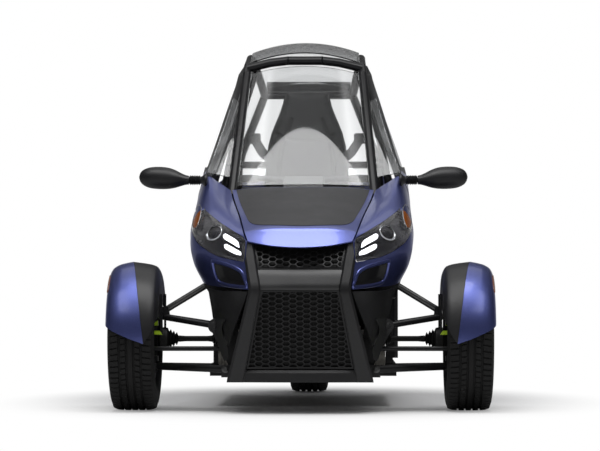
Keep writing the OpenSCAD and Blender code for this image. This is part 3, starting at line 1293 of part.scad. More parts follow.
main_frame();
battery_box();
floor_tub();
drive_unit();
roll_cage();
roof_panel();
windshield();
quarter_windows();
hood();
nose_cheeks();
headlamps();
vent_pods();
front_bumper();
bumper_panel();
lower_grille();
upper_grille();
lower_cowls();
dashboard();
driver_seat();
passenger_seat();
upper_wishbones();
lower_wishbones();
pushrods();
half_shafts();
rear_crossbeam();
quarter_panels();
rear_deck();
tail_panel();
tail_lamps();
swing_arm();
rear_shock();
rear_fender();
mirrors();
handlebar();
steering_rack();
left_knuckle();
left_fender();
left_fender_liner();
left_tyre();
left_wheel();
right_knuckle();
right_fender();
right_fender_liner();
right_tyre();
right_wheel();
rear_tyre();
rear_wheel();
left_door();
left_door_glass();
right_door();
right_door_glass();
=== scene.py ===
import bpy
import bmesh
import math
import numpy as np
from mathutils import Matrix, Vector
from mathutils.bvhtree import BVHTree


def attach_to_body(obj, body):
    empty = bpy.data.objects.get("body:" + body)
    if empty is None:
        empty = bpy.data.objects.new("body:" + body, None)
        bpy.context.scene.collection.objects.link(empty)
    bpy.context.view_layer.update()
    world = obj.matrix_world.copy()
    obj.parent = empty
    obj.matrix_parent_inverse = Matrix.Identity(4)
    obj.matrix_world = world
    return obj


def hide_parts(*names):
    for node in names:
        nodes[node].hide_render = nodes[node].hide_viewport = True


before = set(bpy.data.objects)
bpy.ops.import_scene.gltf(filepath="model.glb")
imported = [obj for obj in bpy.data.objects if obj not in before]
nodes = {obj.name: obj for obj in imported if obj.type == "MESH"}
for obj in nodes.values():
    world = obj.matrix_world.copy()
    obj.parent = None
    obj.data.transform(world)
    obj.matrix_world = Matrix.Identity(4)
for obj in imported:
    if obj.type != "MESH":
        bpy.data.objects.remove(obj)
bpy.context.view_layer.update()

# camera: the photograph's view, a long lens from 10 m in front of the front axle
cam_data = bpy.data.cameras.new("camera")
cam_data.sensor_width = 36.0
cam_data.lens = 148.2
cam_data.shift_x = -0.0027
cam = bpy.data.objects.new("camera", cam_data)
bpy.context.collection.objects.link(cam)
cam.location = (0.185, -11.016, 0.45)
cam.rotation_euler = (math.radians(91.7), 0.0, math.radians(1.06))
bpy.context.scene.camera = cam


# node helpers
def fill(n, *args, **named):
    """Fills a node's inputs, in order or by name, with values or with links from other nodes' outputs."""
    for key, value in [*enumerate(args), *named.items()]:
        socket = n.inputs[key if isinstance(key, int) else key.replace("_", " ")]
        if isinstance(value, bpy.types.NodeSocket):
            n.id_data.links.new(value, socket)
        else:
            socket.default_value = value
    return n


def node(nt, kind, *args, operation=None, **named):
    n = nt.nodes.new("ShaderNode" + kind)
    if operation:
        n.operation = operation
    return fill(n, *args, **named)


def math_of(nt, operation, a, b):
    return node(nt, "Math", a, b, operation=operation).outputs[0]


def noise_of(nt, scale, detail=3.0, rough=0.55, stretch=None):
    place = node(nt, "TexCoord").outputs["Object"]
    if stretch:
        place = node(nt, "Mapping", Vector=place, Scale=stretch).outputs["Vector"]
    return node(nt, "TexNoise", Vector=place, Scale=scale, Detail=detail, Roughness=rough).outputs["Fac"]


def ramp_of(nt, src, stops):
    r = node(nt, "ValToRGB", Fac=src)
    els = r.color_ramp.elements
    while len(els) < len(stops):
        els.new(0.5)
    for e, (p, c) in zip(els, stops):
        e.position = p
        e.color = (*c, 1.0)
    return r.outputs["Color"]


def range_of(nt, src, low, high, a=0.3, b=0.7):
    r = node(nt, "MapRange", Value=src, From_Min=a, From_Max=b, To_Min=low, To_Max=high)
    return r.outputs["Result"]


def bump_of(nt, height, strength, distance):
    return node(nt, "Bump", Height=height, Strength=strength, Distance=distance).outputs["Normal"]


# materials
def new_mat(name):
    m = bpy.data.materials.new(name)
    m.use_nodes = True
    return m, m.node_tree, m.node_tree.nodes["Principled BSDF"]


def mix_to_output(nt, share, a, b):
    shader = node(nt, "MixShader", share, a, b).outputs["Shader"]
    fill(nt.nodes["Material Output"], Surface=shader)


def surface(name, base, rough, metal=0.0, vary=0.12, rough_vary=0.08, grain=900.0, bump=0.15,
            bump_dist=0.0004, wide=6.0, coat=0.0, coat_rough=0.05, stretch=None, spec=0.5):
    """A solid material with broad colour variation, uneven gloss and a fine grain."""
    m, nt, p = new_mat(name)
    broad = noise_of(nt, wide, 4.0)
    dark = tuple(c * (1 - vary) for c in base)
    light = tuple(min(1.0, c * (1 + vary)) for c in base)
    fine = noise_of(nt, grain, 2.0, 0.6, stretch)
    fill(p, Base_Color=ramp_of(nt, broad, [(0.3, dark), (0.7, light)]),
         Roughness=range_of(nt, broad, max(0.02, rough - rough_vary), min(1.0, rough + rough_vary)),
         Normal=bump_of(nt, fine, bump, bump_dist), Metallic=metal, Coat_Weight=coat,
         Coat_Roughness=coat_rough, Specular_IOR_Level=spec)
    return m


def paint_mat(name, dark, middle, light):
    """Metallic lacquer: fine flake under a clear coat."""
    m, nt, p = new_mat(name)
    place = node(nt, "TexCoord").outputs["Object"]
    flake = node(nt, "TexVoronoi", Vector=place, Scale=1800.0)
    sep = node(nt, "SeparateColor", Color=flake.outputs["Color"])
    fill(p, Base_Color=ramp_of(nt, sep.outputs["Red"], [(0.0, dark), (0.55, middle), (1.0, light)]),
         Roughness=range_of(nt, sep.outputs["Green"], 0.30, 0.42, 0.0, 1.0),
         Normal=bump_of(nt, noise_of(nt, 120.0, 2.0), 0.04, 0.0006), Metallic=0.9, Coat_Weight=0.4,
         Coat_Roughness=0.08)
    return m


def glass_mat(name, tint, rough=0.015, shadow=None, ior=1.45):
    """Thin clear sheet that lets lamp light through, with faint smears."""
    m, nt, p = new_mat(name)
    smear = range_of(nt, noise_of(nt, 9.0, 4.0), rough, rough * 3)
    fill(p, Base_Color=(*tint, 1.0), Transmission_Weight=1.0, IOR=ior, Roughness=smear)
    clear = node(nt, "BsdfTransparent", Color=(*(shadow or tint), 1.0))
    rays = node(nt, "LightPath").outputs["Is Shadow Ray"]
    mix_to_output(nt, rays, p.outputs["BSDF"], clear.outputs["BSDF"])
    return m


def glow_mat(name, base, strength, rough=0.25):
    m, nt, p = new_mat(name)
    dim = tuple(x * 0.92 for x in base)
    fill(p, Base_Color=ramp_of(nt, noise_of(nt, 60.0, 2.0), [(0.3, dim), (0.7, base)]), Roughness=rough,
         Emission_Color=(*base, 1.0), Emission_Strength=strength)
    return m


def fade_tint(mat, front, rear, start, end):
    """A graded tint: one colour at the front of the roof, another at its rear."""
    nt = mat.node_tree
    sep = node(nt, "SeparateXYZ", Vector=node(nt, "TexCoord").outputs["Object"])
    share = range_of(nt, sep.outputs["Y"], 0.0, 1.0, start, end)
    fill(nt.nodes["Principled BSDF"], Base_Color=ramp_of(nt, share, [(0.0, front), (1.0, rear)]))


PAINT = paint_mat("indigo_paint", (0.072, 0.088, 0.27), (0.095, 0.116, 0.34), (0.13, 0.155, 0.42))
BLACK = surface("satin_black_plastic", (0.014, 0.014, 0.015), 0.4, vary=0.2, bump=0.18, spec=0.3)
PANEL = surface("satin_grey_panel", (0.030, 0.030, 0.031), 0.42, bump=0.18, spec=0.35)
GRILLE = surface("grille_plastic", (0.010, 0.010, 0.011), 0.38, vary=0.2, bump=0.12, spec=0.25)
MATT = surface("matt_hood_film", (0.030, 0.030, 0.032), 0.6, vary=0.06, bump=0.14, grain=1500, spec=0.25)
TUBE = surface("satin_black_coat", (0.010, 0.010, 0.011), 0.32, vary=0.15, bump=0.1, spec=0.25)
FRAME = surface("frame_coat", (0.02, 0.02, 0.021), 0.45, vary=0.2, bump=0.15, spec=0.3)
CAST = surface("cast_alloy", (0.22, 0.21, 0.19), 0.5, metal=0.8, vary=0.2, bump=0.4, grain=500,
               bump_dist=0.0006)
STEEL = surface("dark_steel", (0.1, 0.1, 0.1), 0.36, metal=0.9, vary=0.2, bump=0.1)
LIME = surface("lime_coat", (0.40, 0.60, 0.015), 0.36, vary=0.1, bump=0.1, coat=0.3)
RUBBER = surface("tyre_rubber", (0.009, 0.009, 0.009), 0.7, vary=0.3, bump=0.35, grain=700, wide=14.0,
                 spec=0.2)
BOOT = surface("boot_rubber", (0.012, 0.012, 0.012), 0.6, vary=0.2, bump=0.3, spec=0.2)
RIM = surface("wheel_coat", (0.015, 0.015, 0.016), 0.3, metal=0.4, vary=0.15, bump=0.1, spec=0.3)
SEAT = surface("seat_cover", (0.012, 0.012, 0.0125), 0.55, vary=0.18, bump=0.22, grain=650,
               bump_dist=0.0005, spec=0.25)
PIPE = surface("seam_piping", (0.02, 0.02, 0.021), 0.5, vary=0.15, bump=0.3, spec=0.25)
WEB = surface("belt_webbing", (0.02, 0.02, 0.022), 0.7, vary=0.25, bump=0.8, grain=260, bump_dist=0.0012,
              stretch=(1, 1, 8))
GRIP = surface("grip_rubber", (0.018, 0.018, 0.018), 0.8, vary=0.25, bump=0.9, grain=300, bump_dist=0.0015)
LAMP = surface("lamp_black", (0.004, 0.004, 0.006), 0.24, vary=0.2, bump=0.02, spec=0.1)
CHROME = surface("lamp_reflector", (0.55, 0.56, 0.58), 0.12, metal=1.0, vary=0.05, bump=0.02)
SILVER = surface("mirror_glass", (0.75, 0.77, 0.78), 0.03, metal=1.0, vary=0.03, bump=0.0)
AMBER = glow_mat("amber_lens", (0.20, 0.050, 0.002), 0.02)
WHITE = glow_mat("led_white", (0.95, 0.96, 1.0), 1.0)
RED = glow_mat("red_lens", (0.5, 0.01, 0.012), 0.12)
CLEAR = glass_mat("clear_sheet", (0.80, 0.81, 0.815), shadow=(0.85, 0.86, 0.865))
TINT = glass_mat("tinted_roof", (0.30, 0.303, 0.307), 0.03, (0.45, 0.455, 0.46), 1.2)
SMOKE = glass_mat("side_glass", (0.62, 0.63, 0.64), 0.02, (0.65, 0.66, 0.67))
COVER = glass_mat("lamp_cover", (0.96, 0.96, 0.97), 0.02, ior=1.12)
fade_tint(TINT, (0.50, 0.505, 0.51), (0.88, 0.885, 0.89), 0.1, 0.5)

# the record's material slot of each look
slot_looks = {
    "paint": [PAINT], "black_plastic": [BLACK, PANEL, GRILLE, MATT, LAMP], "black_metal": [TUBE, FRAME, BOOT],
    "steel": [STEEL, CHROME], "tyre": [RUBBER], "seat_cover": [SEAT, PIPE, WEB], "red_lens": [RED],
    "lamp_lens": [AMBER, WHITE, COVER], "clear_glass": [CLEAR, SMOKE, SILVER], "tinted_glass": [TINT]}
slot_of = {mat.name: slot for slot, looks in slot_looks.items() for mat in looks}

# the CAD nodes' materials
node_looks = [
    (FRAME, "main_frame"),
    (CAST, "drive_unit"),
    (TUBE, "roll_cage upper_wishbones lower_wishbones swing_arm handlebar steering_rack"),
    (STEEL, "pushrods rear_shock"),
    (BOOT, "half_shafts"),
    (SEAT, "driver_seat passenger_seat"),
    (LIME, "left_knuckle right_knuckle"),
    (RUBBER, "left_tyre right_tyre rear_tyre"),
    (RIM, "left_wheel right_wheel rear_wheel"),
    (LAMP, "headlamps"),
    (RED, "tail_lamps"),
    (TINT, "roof_panel"),
    (GRILLE, "lower_grille upper_grille"),
    (CLEAR, "windshield quarter_windows left_door_glass right_door_glass"),
    (PAINT, "hood nose_cheeks rear_crossbeam quarter_panels rear_deck left_fender right_fender"
            " left_door right_door"),
    (BLACK, "battery_box floor_tub vent_pods front_bumper bumper_panel lower_cowls dashboard tail_panel"
            " rear_fender mirrors left_fender_liner right_fender_liner"),
]
for mat, names in node_looks:
    for name in names.split():
        o = nodes[name]
        if not o.material_slots:
            o.data.materials.append(mat)
        for s in o.material_slots:
            s.material = mat


def recolour(name, mat, where):
    """A second material on the node's polygons for which where holds."""
    me = nodes[name].data
    me.materials.append(mat)
    for f in me.polygons:
        f.material_index = int(where(f))


HUB_X, HUB_LOW, HUB_HIGH, GRIP_X = 0.565, 0.222, 0.352, 0.2


def is_stay(f):
    """The knuckle's stays and lugs, which are black; its hub and caliper carrier are lime."""
    return abs(f.center.x) < HUB_X or not HUB_LOW < f.center.z < HUB_HIGH


def is_grip(f):
    return abs(f.center.x) > GRIP_X


def faces_front_or_down(f):
    return min(f.normal.y, f.normal.z) < -0.3


recolour("left_knuckle", TUBE, is_stay)
recolour("right_knuckle", TUBE, is_stay)
recolour("handlebar", GRIP, is_grip)
recolour("rear_crossbeam", BLACK, faces_front_or_down)

# Sizes in millimetres, and tables of shares of them. They follow the CAD panels, but for a sharper lip on the
# hood and for fenders with a more angular edge.
NOSE_AT, NOSE_SIZE = np.array([0, -640.0, 480.0]), np.array([455.0, -795.0, 440.0])
DOOR_AT, DOOR_SIZE = np.array([0, -572.35, 452.0]), np.array([455.0, 930.0, 1075.0])
TAIL_AT, TAIL_SIZE = np.array([0, 406.0, 0.0]), np.array([455.0, 1029.0, 920.0])
AXLE_Y, AXLE_Z, WHEEL_X, REAR_Y, TYRE_R, TYRE_W = -1016.0, 289.0, 672.0, 1016.0, 289.0, 185.0
FOOT, TOP = np.array([300.0, -668, 880]), np.array([249.0, -262, 1456])
MID, HOOP, END = np.array([246.0, 60, 1532]), np.array([238.0, 425, 1520]), np.array([212.0, 850, 1425])
CAGE, GLASS, SKIN = 19.0, 5.0, 5.0
GLASS_FIT = 0.3

hood_shares = [
    [[0, 0.085, 0.992], [0.36, 0.08, 0.99], [0.65, 0.07, 0.965]],
    [[0, 0.30, 0.875], [0.34, 0.285, 0.87], [0.613, 0.24, 0.85]],
    [[0, 0.60, 0.715], [0.30, 0.58, 0.71], [0.543, 0.53, 0.69]],
    [[0, 0.736, 0.632], [0.284, 0.72, 0.629], [0.512, 0.677, 0.608]],
    [[0, 0.828, 0.575], [0.273, 0.816, 0.573], [0.49, 0.779, 0.548]],
    [[0, 0.862, 0.524], [0.267, 0.849, 0.527], [0.481, 0.814, 0.5235]],
    [[0, 0.937, 0.39], [0.245, 0.92, 0.405], [0.45, 0.885, 0.445]]]
# the matt film on the hood: share of the hood's length, and half of its width there
film_shares = np.array([
    [0.008, 0.468], [0.08, 0.466], [0.233, 0.458], [0.333, 0.447], [0.433, 0.435], [0.493, 0.415],
    [0.542, 0.38], [0.578, 0.32], [0.608, 0.22], [0.628, 0.11], [0.638, 0.004]])
cheek_shares = [
    [[0.668, 0.06, 0.965], [0.79, -0.03, 1.05], [0.895, -0.06, 1.1], [0.98, -0.07, 0.91],
     [0.993, -0.063, 0.59], [0.934, -0.05, 0.27], [0.88, -0.04, 0.114]],
    [[0.628, 0.24, 0.852], [0.736, 0.22, 0.89], [0.857, 0.2, 0.913], [0.963, 0.195, 0.807],
     [1, 0.2, 0.568], [0.958, 0.214, 0.295], [0.884, 0.226, 0.114]],
    [[0.558, 0.53, 0.693], [0.681, 0.503, 0.727], [0.818, 0.478, 0.727], [0.934, 0.453, 0.67],
     [0.993, 0.44, 0.534], [0.967, 0.44, 0.307], [0.89, 0.453, 0.118]],
    [[0.5, 0.798, 0.537], [0.604, 0.755, 0.55], [0.725, 0.717, 0.534], [0.846, 0.667, 0.477],
     [0.919, 0.616, 0.364], [0.89, 0.6, 0.205], [0.813, 0.61, 0.057]],
    [[0.466, 0.887, 0.445], [0.47, 0.9, 0.386], [0.472, 0.91, 0.318], [0.47, 0.916, 0.25],
     [0.466, 0.92, 0.18], [0.455, 0.923, 0.095], [0.446, 0.923, 0.014]]]
lamp_shares = [[0.94, 0.845], [0.848, 0.74], [0.714, 0.63], [0.58, 0.54], [0.475, 0.461], [0.479, 0.273],
               [0.516, 0.264], [0.686, 0.302], [0.79, 0.348], [0.908, 0.434], [0.969, 0.532], [0.996, 0.62],
               [0.982, 0.739]]
pod_shares = [[0.763, 0.264], [0.695, 0.25], [0.576, 0.209], [0.51, 0.164], [0.481, 0.091], [0.47, 0.041],
              [0.615, 0.055], [0.708, 0.084], [0.743, 0.148], [0.758, 0.205]]
cowl_shares = [
    [[0.45, 0.917, -0.005], [0.593, 0.843, 0], [0.725, 0.742, 0.005], [0.82, 0.62, 0.03]],
    [[0.495, 0.893, -0.136], [0.593, 0.83, -0.136], [0.714, 0.736, -0.136], [0.79, 0.64, -0.136]],
    [[0.576, 0.862, -0.34], [0.626, 0.811, -0.34], [0.692, 0.736, -0.34], [0.752, 0.665, -0.33]],
    [[0.624, 0.83, -0.482], [0.637, 0.8, -0.484], [0.653, 0.742, -0.484], [0.664, 0.68, -0.482]]]
door_shares = [
    [[0.857, 0, 0.003], [0.945, 0.003, 0.138], [0.99, 0.01, 0.268], [0.985, 0.014, 0.398],
     [0.908, 0.012, 0.495], [0.838, 0.085, 0.587], [0.757, 0.18, 0.7], [0.686, 0.29, 0.82],
     [0.64, 0.385, 0.912]],
    [[0.853, 0.25, 0], [0.945, 0.25, 0.138], [0.998, 0.253, 0.287], [0.993, 0.256, 0.417],
     [0.965, 0.258, 0.5], [0.905, 0.296, 0.589], [0.804, 0.35, 0.714], [0.69, 0.425, 0.85],
     [0.614, 0.495, 0.944]],
    [[0.848, 0.503, 0], [0.943, 0.503, 0.138], [0.996, 0.503, 0.287], [0.993, 0.503, 0.417],
     [0.973, 0.508, 0.5], [0.914, 0.525, 0.585], [0.804, 0.552, 0.72], [0.688, 0.584, 0.867],
     [0.6, 0.617, 0.967]],
    [[0.846, 0.755, 0], [0.941, 0.755, 0.138], [0.993, 0.755, 0.287], [0.991, 0.755, 0.417],
     [0.971, 0.755, 0.5], [0.912, 0.76, 0.585], [0.802, 0.766, 0.72], [0.686, 0.775, 0.87],
     [0.597, 0.783, 0.975]],
    [[0.84, 1, 0], [0.932, 1, 0.138], [0.985, 1, 0.287], [0.982, 1, 0.417], [0.96, 0.998, 0.5],
     [0.901, 0.992, 0.585], [0.791, 0.981, 0.72], [0.678, 0.963, 0.868], [0.594, 0.942, 0.97]]]
window_shares = [[0.085, 0.525], [0.2, 0.65], [0.33, 0.79], [0.42, 0.875], [0.6, 0.922], [0.9, 0.928],
                 [0.93, 0.82], [0.952, 0.68], [0.962, 0.525], [0.6, 0.53], [0.3, 0.53]]
quarter_shares = [
    [[0.89, 0.02, 0.5], [0.985, 0.02, 0.7], [0.99, 0.02, 0.88], [0.93, 0.02, 1.06]],
    [[0.87, 0.2, 0.53], [0.965, 0.2, 0.71], [0.97, 0.2, 0.9], [0.91, 0.2, 1.09]],
    [[0.82, 0.45, 0.62], [0.87, 0.45, 0.78], [0.87, 0.45, 0.96], [0.8, 0.45, 1.14]],
    [[0.68, 0.7, 0.7], [0.72, 0.7, 0.83], [0.72, 0.7, 0.98], [0.64, 0.7, 1.12]],
    [[0.53, 0.88, 0.74], [0.56, 0.88, 0.84], [0.56, 0.88, 0.96], [0.5, 0.88, 1.06]],
    [[0.43, 0.985, 0.76], [0.45, 0.985, 0.84], [0.45, 0.985, 0.94], [0.42, 0.985, 1.01]]]
outer_shares = [[0, 1], [0.35, 0.98], [0.62, 0.956], [0.85, 0.912], [0.97, 0.845], [1, 0.77]]
liner_shares = [[0, 1], [0.42, 0.98], [0.7, 0.958], [0.87, 0.922], [0.985, 0.82], [1, 0.68], [1, 0.5]]


# curves and grids
def mix(a, b, t):
    return a + (b - a) * t


def curve(p, t):
    """A point of the smooth curve through evenly spaced points, at a share of its length."""
    last = len(p) - 1
    i = min(int(t * last), last - 1)
    u = t * last - i
    b, c = p[i], p[i + 1]
    a = p[i - 1] if i > 0 else 2 * p[0] - p[1]
    d = p[i + 2] if i + 2 <= last else 2 * p[last] - p[last - 1]
    return (2 * b + (c - a) * u + (2 * a - 5 * b + 4 * c - d) * u * u + (3 * b - a - 3 * c + d) * u ** 3) / 2


def closed_curve(points, steps=6, tight=0.5):
    """A smooth closed outline through the points."""
    p = np.array(points, float)
    n = len(p)
    out = []
    for i in range(n):
        a, b, c, d = p[i - 1], p[i], p[(i + 1) % n], p[(i + 2) % n]
        m0, m1 = (c - a) * tight, (d - b) * tight
        for k in range(steps):
            t = k / steps
            out.append((2 * t ** 3 - 3 * t ** 2 + 1) * b + (t ** 3 - 2 * t ** 2 + t) * m0
                       + (-2 * t ** 3 + 3 * t ** 2) * c + (t ** 3 - t ** 2) * m1)
    return np.array(out)


def turns(n):
    return [2 * math.pi * k / n for k in range(n)]


def placed(shares, at, size):
    return np.array(shares, float) * size + at


def mirrored(net):
    flip = net[:, :0:-1].copy()
    flip[..., 0] *= -1
    return np.concatenate([flip, net], axis=1)


def patch(net, rows, cols, low=(0, 0), high=(1, 1)):
    """A grid on the smooth surface through a net of points, between two corners given as shares."""
    across = np.array([[curve(row, mix(low[1], high[1], j / cols)) for j in range(cols + 1)] for row in net])
    return np.array([curve(across, mix(low[0], high[0], i / rows)) for i in range(rows + 1)])


def grid_of(spot, rows, cols, both=True):
    """A grid of spots: the first share runs from 0 to 1, the second from -1 to 1, or from 0 unless both."""
    line = range(-cols if both else 0, cols + 1)
    return np.array([[spot(i / rows, j / cols) for j in line] for i in range(rows + 1)])


def oval(spot, centre, reach, n=16):
    """A round-ended grid of spots about a centre."""
    def at(a, b):
        return spot(centre[0] + reach[0] * a * math.sqrt(1 - b * b / 2),
                    centre[1] + reach[1] * b * math.sqrt(1 - a * a / 2))
    line = np.linspace(-1, 1, n + 1)
    return np.array([[at(a, b) for b in line] for a in line])


# shapes, each as a list of vertices and a list of faces
def sheet_geo(g, t, lift=0.0):
    """A closed sheet of thickness t under the grid, the grid raised by lift first."""
    n = np.cross(np.gradient(g, axis=0), np.gradient(g, axis=1))
    n /= np.linalg.norm(n, axis=2, keepdims=True)
    top = g + lift * n
    under = top - t * n
    r, c = g.shape[:2]
    drop = r * c
    ids = np.arange(drop).reshape(r, c)
    corners = [ids[:-1, :-1], ids[1:, :-1], ids[1:, 1:], ids[:-1, 1:]]
    quads = np.stack(corners, -1).reshape(-1, 4)
    faces = [tuple(q) for q in quads] + [tuple(q[::-1] + drop) for q in quads]
    edge = [*ids[0, :], *ids[1:, -1], *ids[-1, -2::-1], *ids[-2:0:-1, 0]]
    faces += [(q, p, p + drop, q + drop) for p, q in zip(edge, edge[1:] + edge[:1])]
    return np.concatenate([top.reshape(-1, 3), under.reshape(-1, 3)]), faces


def loft(rings, closed=False):
    """A skin over rings of points, with end caps unless its last ring joins its first."""
    rings = np.array(rings, float)
    count, n = rings.shape[:2]
    faces = []
    for i in range(count if closed else count - 1):
        j = (i + 1) % count
        faces += [(i * n + k, i * n + (k + 1) % n, j * n + (k + 1) % n, j * n + k) for k in range(n)]
    if not closed:
        faces += [tuple(range(n)), tuple(range(count * n - 1, (count - 1) * n - 1, -1))]
    return rings.reshape(-1, 3), faces


def prism_geo(outline, low, high, axis=1):
    """A closed prism: over (x, z) points along Y, or with axis 0 over (y, z) points along X."""
    return loft([[np.insert(np.array(p, float), axis, w) for p in outline] for w in (low, high)])


def basis(axis):
    w = np.array(axis, float) / np.linalg.norm(axis)
    u = np.cross(w, (0, 0, 1) if abs(w[2]) < 0.9 else (1, 0, 0))
    u /= np.linalg.norm(u)
    return u, np.cross(w, u), w


def around(at, axis, a, r, h):
    """A spot at a turn, a radius and a height about an axis."""
    u, v, w = basis(axis)
    return np.array(at) + w * h + r * (u * math.cos(a) + v * math.sin(a))


def lathe(at, axis, profile, seg=48):
    """A turned solid: the profile's (radius, height) points round the axis; a zero radius makes a pole."""
    verts, rings = [], []
    for r, h in profile:
        spots = [around(at, axis, a, r, h) for a in (turns(seg) if r > 0 else [0.0])]
        rings.append(list(range(len(verts), len(verts) + len(spots))))
        verts += spots
    faces = []
    for a, b in zip(rings, rings[1:]):
        for k in range(seg):
            m = (k + 1) % seg
            if len(a) == 1:
                faces.append((a[0], b[k], b[m]))
            elif len(b) == 1:
                faces.append((a[k], a[m], b[0]))
            else:
                faces.append((a[k], a[m], b[m], b[k]))
    return np.array(verts), faces


def ring(at, axis, profile, seg=48):
    """A turned ring with a closed section."""
    return loft([[around(at, axis, a, r, h) for r, h in profile] for a in turns(seg)], True)


def round_section(r, steps=10, wide=1.0, tall=1.0):
    return [(r * wide * math.cos(a), r * tall * math.sin(a)) for a in turns(steps)]


def sweep(path, section, closed=False, up=None):
    """A bar along a path: the section's first axis lies across, its second along the up directions."""
    p = np.array(path, float)
    t = np.roll(p, -1, 0) - np.roll(p, 1, 0)
    if not closed:
        t[0], t[-1] = p[1] - p[0], p[-1] - p[-2]
    t /= np.linalg.norm(t, axis=1, keepdims=True)
    ups = np.zeros_like(p)
    if up is not None:
        ups[:] = up
    else:
        ups[0] = basis(t[0])[0]
        for i in range(1, len(p)):
            ups[i] = ups[i - 1] - t[i] * np.dot(ups[i - 1], t[i])
            ups[i] /= np.linalg.norm(ups[i])
    ups -= t * (ups * t).sum(axis=1, keepdims=True)
    ups /= np.linalg.norm(ups, axis=1, keepdims=True)
    side = np.cross(t, ups)
    return loft([[p[i] + side[i] * a + ups[i] * b for a, b in section] for i in range(len(p))], closed)


def chamfer_box(at, half, bevel, axes=((1, 0, 0), (0, 1, 0), (0, 0, 1))):
    """A box with cut corners: half sizes along three axes."""
    a, b, c = [np.array(x, float) for x in axes]
    rings = []
    for w, inset in ((-half[2], bevel), (bevel - half[2], 0.0), (half[2] - bevel, 0.0), (half[2], bevel)):
        p, q = half[0] - inset, half[1] - inset
        spots = [(p, q - bevel), (p - bevel, q), (bevel - p, q), (-p, q - bevel),
                 (-p, bevel - q), (bevel - p, -q), (p - bevel, -q), (p, bevel - q)]
        rings.append([np.array(at) + a * x + b * y + c * w for x, y in spots])
    return loft(rings)


def flip_geo(geo):
    v, f = geo
    return v * np.array([-1, 1, 1]), [tuple(reversed(q)) for q in f]


def pair(geo):
    return [geo, flip_geo(geo)]


def sided(geo, sign):
    return geo if sign > 0 else flip_geo(geo)


# pieces
def soften(o, angle=38.0):
    o.data.shade_smooth()
    o.data.set_sharp_from_angle(angle=math.radians(angle))


def attach(o, stands_for=(), body="chassis", slot=None):
    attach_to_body(o, body)
    if stands_for:
        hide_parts(*stands_for)
    slot or slot_of[o.data.materials[0].name]


def build(name, geos, mat, stands_for=(), body="chassis", slot=None, angle=38.0, mm=True):
    """One object from several shapes, smooth but for its sharp edges, and attached unless body is None."""
    verts, faces = [], []
    for v, f in geos:
        base = len(verts)
        verts += [tuple(float(x) * (0.001 if mm else 1.0) for x in p) for p in v]
        faces += [tuple(int(i) + base for i in q) for q in f]
    me = bpy.data.meshes.new(name)
    me.from_pydata(verts, [], faces)
    bm = bmesh.new()
    bm.from_mesh(me)
    bmesh.ops.recalc_face_normals(bm, faces=bm.faces)
    bm.to_mesh(me)
    bm.free()
    o = bpy.data.objects.new(name, me)
    bpy.context.collection.objects.link(o)
    me.materials.append(mat)
    soften(o, angle)
    if body:
        attach(o, stands_for, body, slot)
    return o


def apply_modifiers(o):
    dg = bpy.context.evaluated_depsgraph_get()
    me = bpy.data.meshes.new_from_object(o.evaluated_get(dg))
    o.modifiers.clear()
    old = o.data
    o.data = me
    bpy.data.meshes.remove(old)
    return me


def boolean(o, geos, op):
    """Cuts the object with, or trims it to, closed shapes."""
    cutter = build("cutter", geos, BLACK, body=None)
    m = o.modifiers.new("cut", "BOOLEAN")
    m.operation = op
    m.object = cutter
    m.solver = "EXACT"
    apply_modifiers(o)
    bpy.data.objects.remove(cutter)
    soften(o)


# nose: hood with its film, cheeks cut out for lamps and pods, cowls
NOSE_FAR, NOSE_NEAR = -1900.0, -942.0
FILM_T, FILM_STEPS = 1.6, 200


def front_outline(shares, grow=1.0, sign=1):
    """An outline in the nose's front view, grown about its middle."""
    p = np.array(shares, float)
    c = p.mean(axis=0)
    return closed_curve(c + (p - c) * grow, 6, 0.35) * (NOSE_SIZE[[0, 2]] * (sign, 1)) + NOSE_AT[[0, 2]]


hood_net = mirrored(placed(hood_shares, NOSE_AT, NOSE_SIZE))
build("hood_skin", [sheet_geo(patch(hood_net, 60, 72), SKIN)], PAINT, ["hood"])
film_line = np.array([curve(film_shares, k / FILM_STEPS) for k in range(FILM_STEPS + 1)])


def film_spot(i, k):
    u, half = film_line[round(FILM_STEPS * (1 - (1 - i) ** 1.5))]
    return curve(np.array([curve(row, 0.5 + k * half) for row in hood_net]), u)


film_geo = sheet_geo(grid_of(film_spot, 50, 24), FILM_T, FILM_T)
build("hood_film", [film_geo], MATT)
CHEEK_ROWS, CHEEK_COLS = 90, 100
cheek_grid = patch(placed(cheek_shares, NOSE_AT, NOSE_SIZE), CHEEK_ROWS, CHEEK_COLS)
cheeks = build("cheek_skins", pair(sheet_geo(cheek_grid, SKIN)), PAINT, body=None)
for sign in (1, -1):
    for shares in (lamp_shares, pod_shares):
        boolean(cheeks, [prism_geo(front_outline(shares, 1.0, sign), NOSE_FAR, NOSE_NEAR)], "DIFFERENCE")
attach(cheeks, ["nose_cheeks"])
cowl_geo = sheet_geo(patch(placed(cowl_shares, NOSE_AT, NOSE_SIZE), 40, 30), SKIN)
build("cowl_skins", pair(cowl_geo), BLACK, ["lower_cowls"])

# front fenders: the ridge runs inward at the front, up to the top of the wheel
FENDER_R, FENDER_T, FRONT_TURN, REAR_TURN = 311.0, 4.0, -3.0, 150.0
RIDGE_FRONT, RIDGE_TOP, OUTER_EDGE, LINER_EDGE = 617.0, 683.1, 773.0, 564.5


def fender_spot(shares, low, edge_x, inset, i, j):
    """A spot on a fender: i runs round the wheel from the front, j from the ridge to the edge."""
    w = curve(np.array(shares, float), j)
    a = mix(mix(FRONT_TURN, low, j), REAR_TURN, i)
    ridge = mix(RIDGE_FRONT, RIDGE_TOP, min(1.0, (a - FRONT_TURN) / (90.0 - FRONT_TURN))) - inset
    r = FENDER_R * w[1]
    return (mix(ridge, edge_x, w[0]), AXLE_Y - r * math.cos(math.radians(a)),
            AXLE_Z + r * math.sin(math.radians(a)))


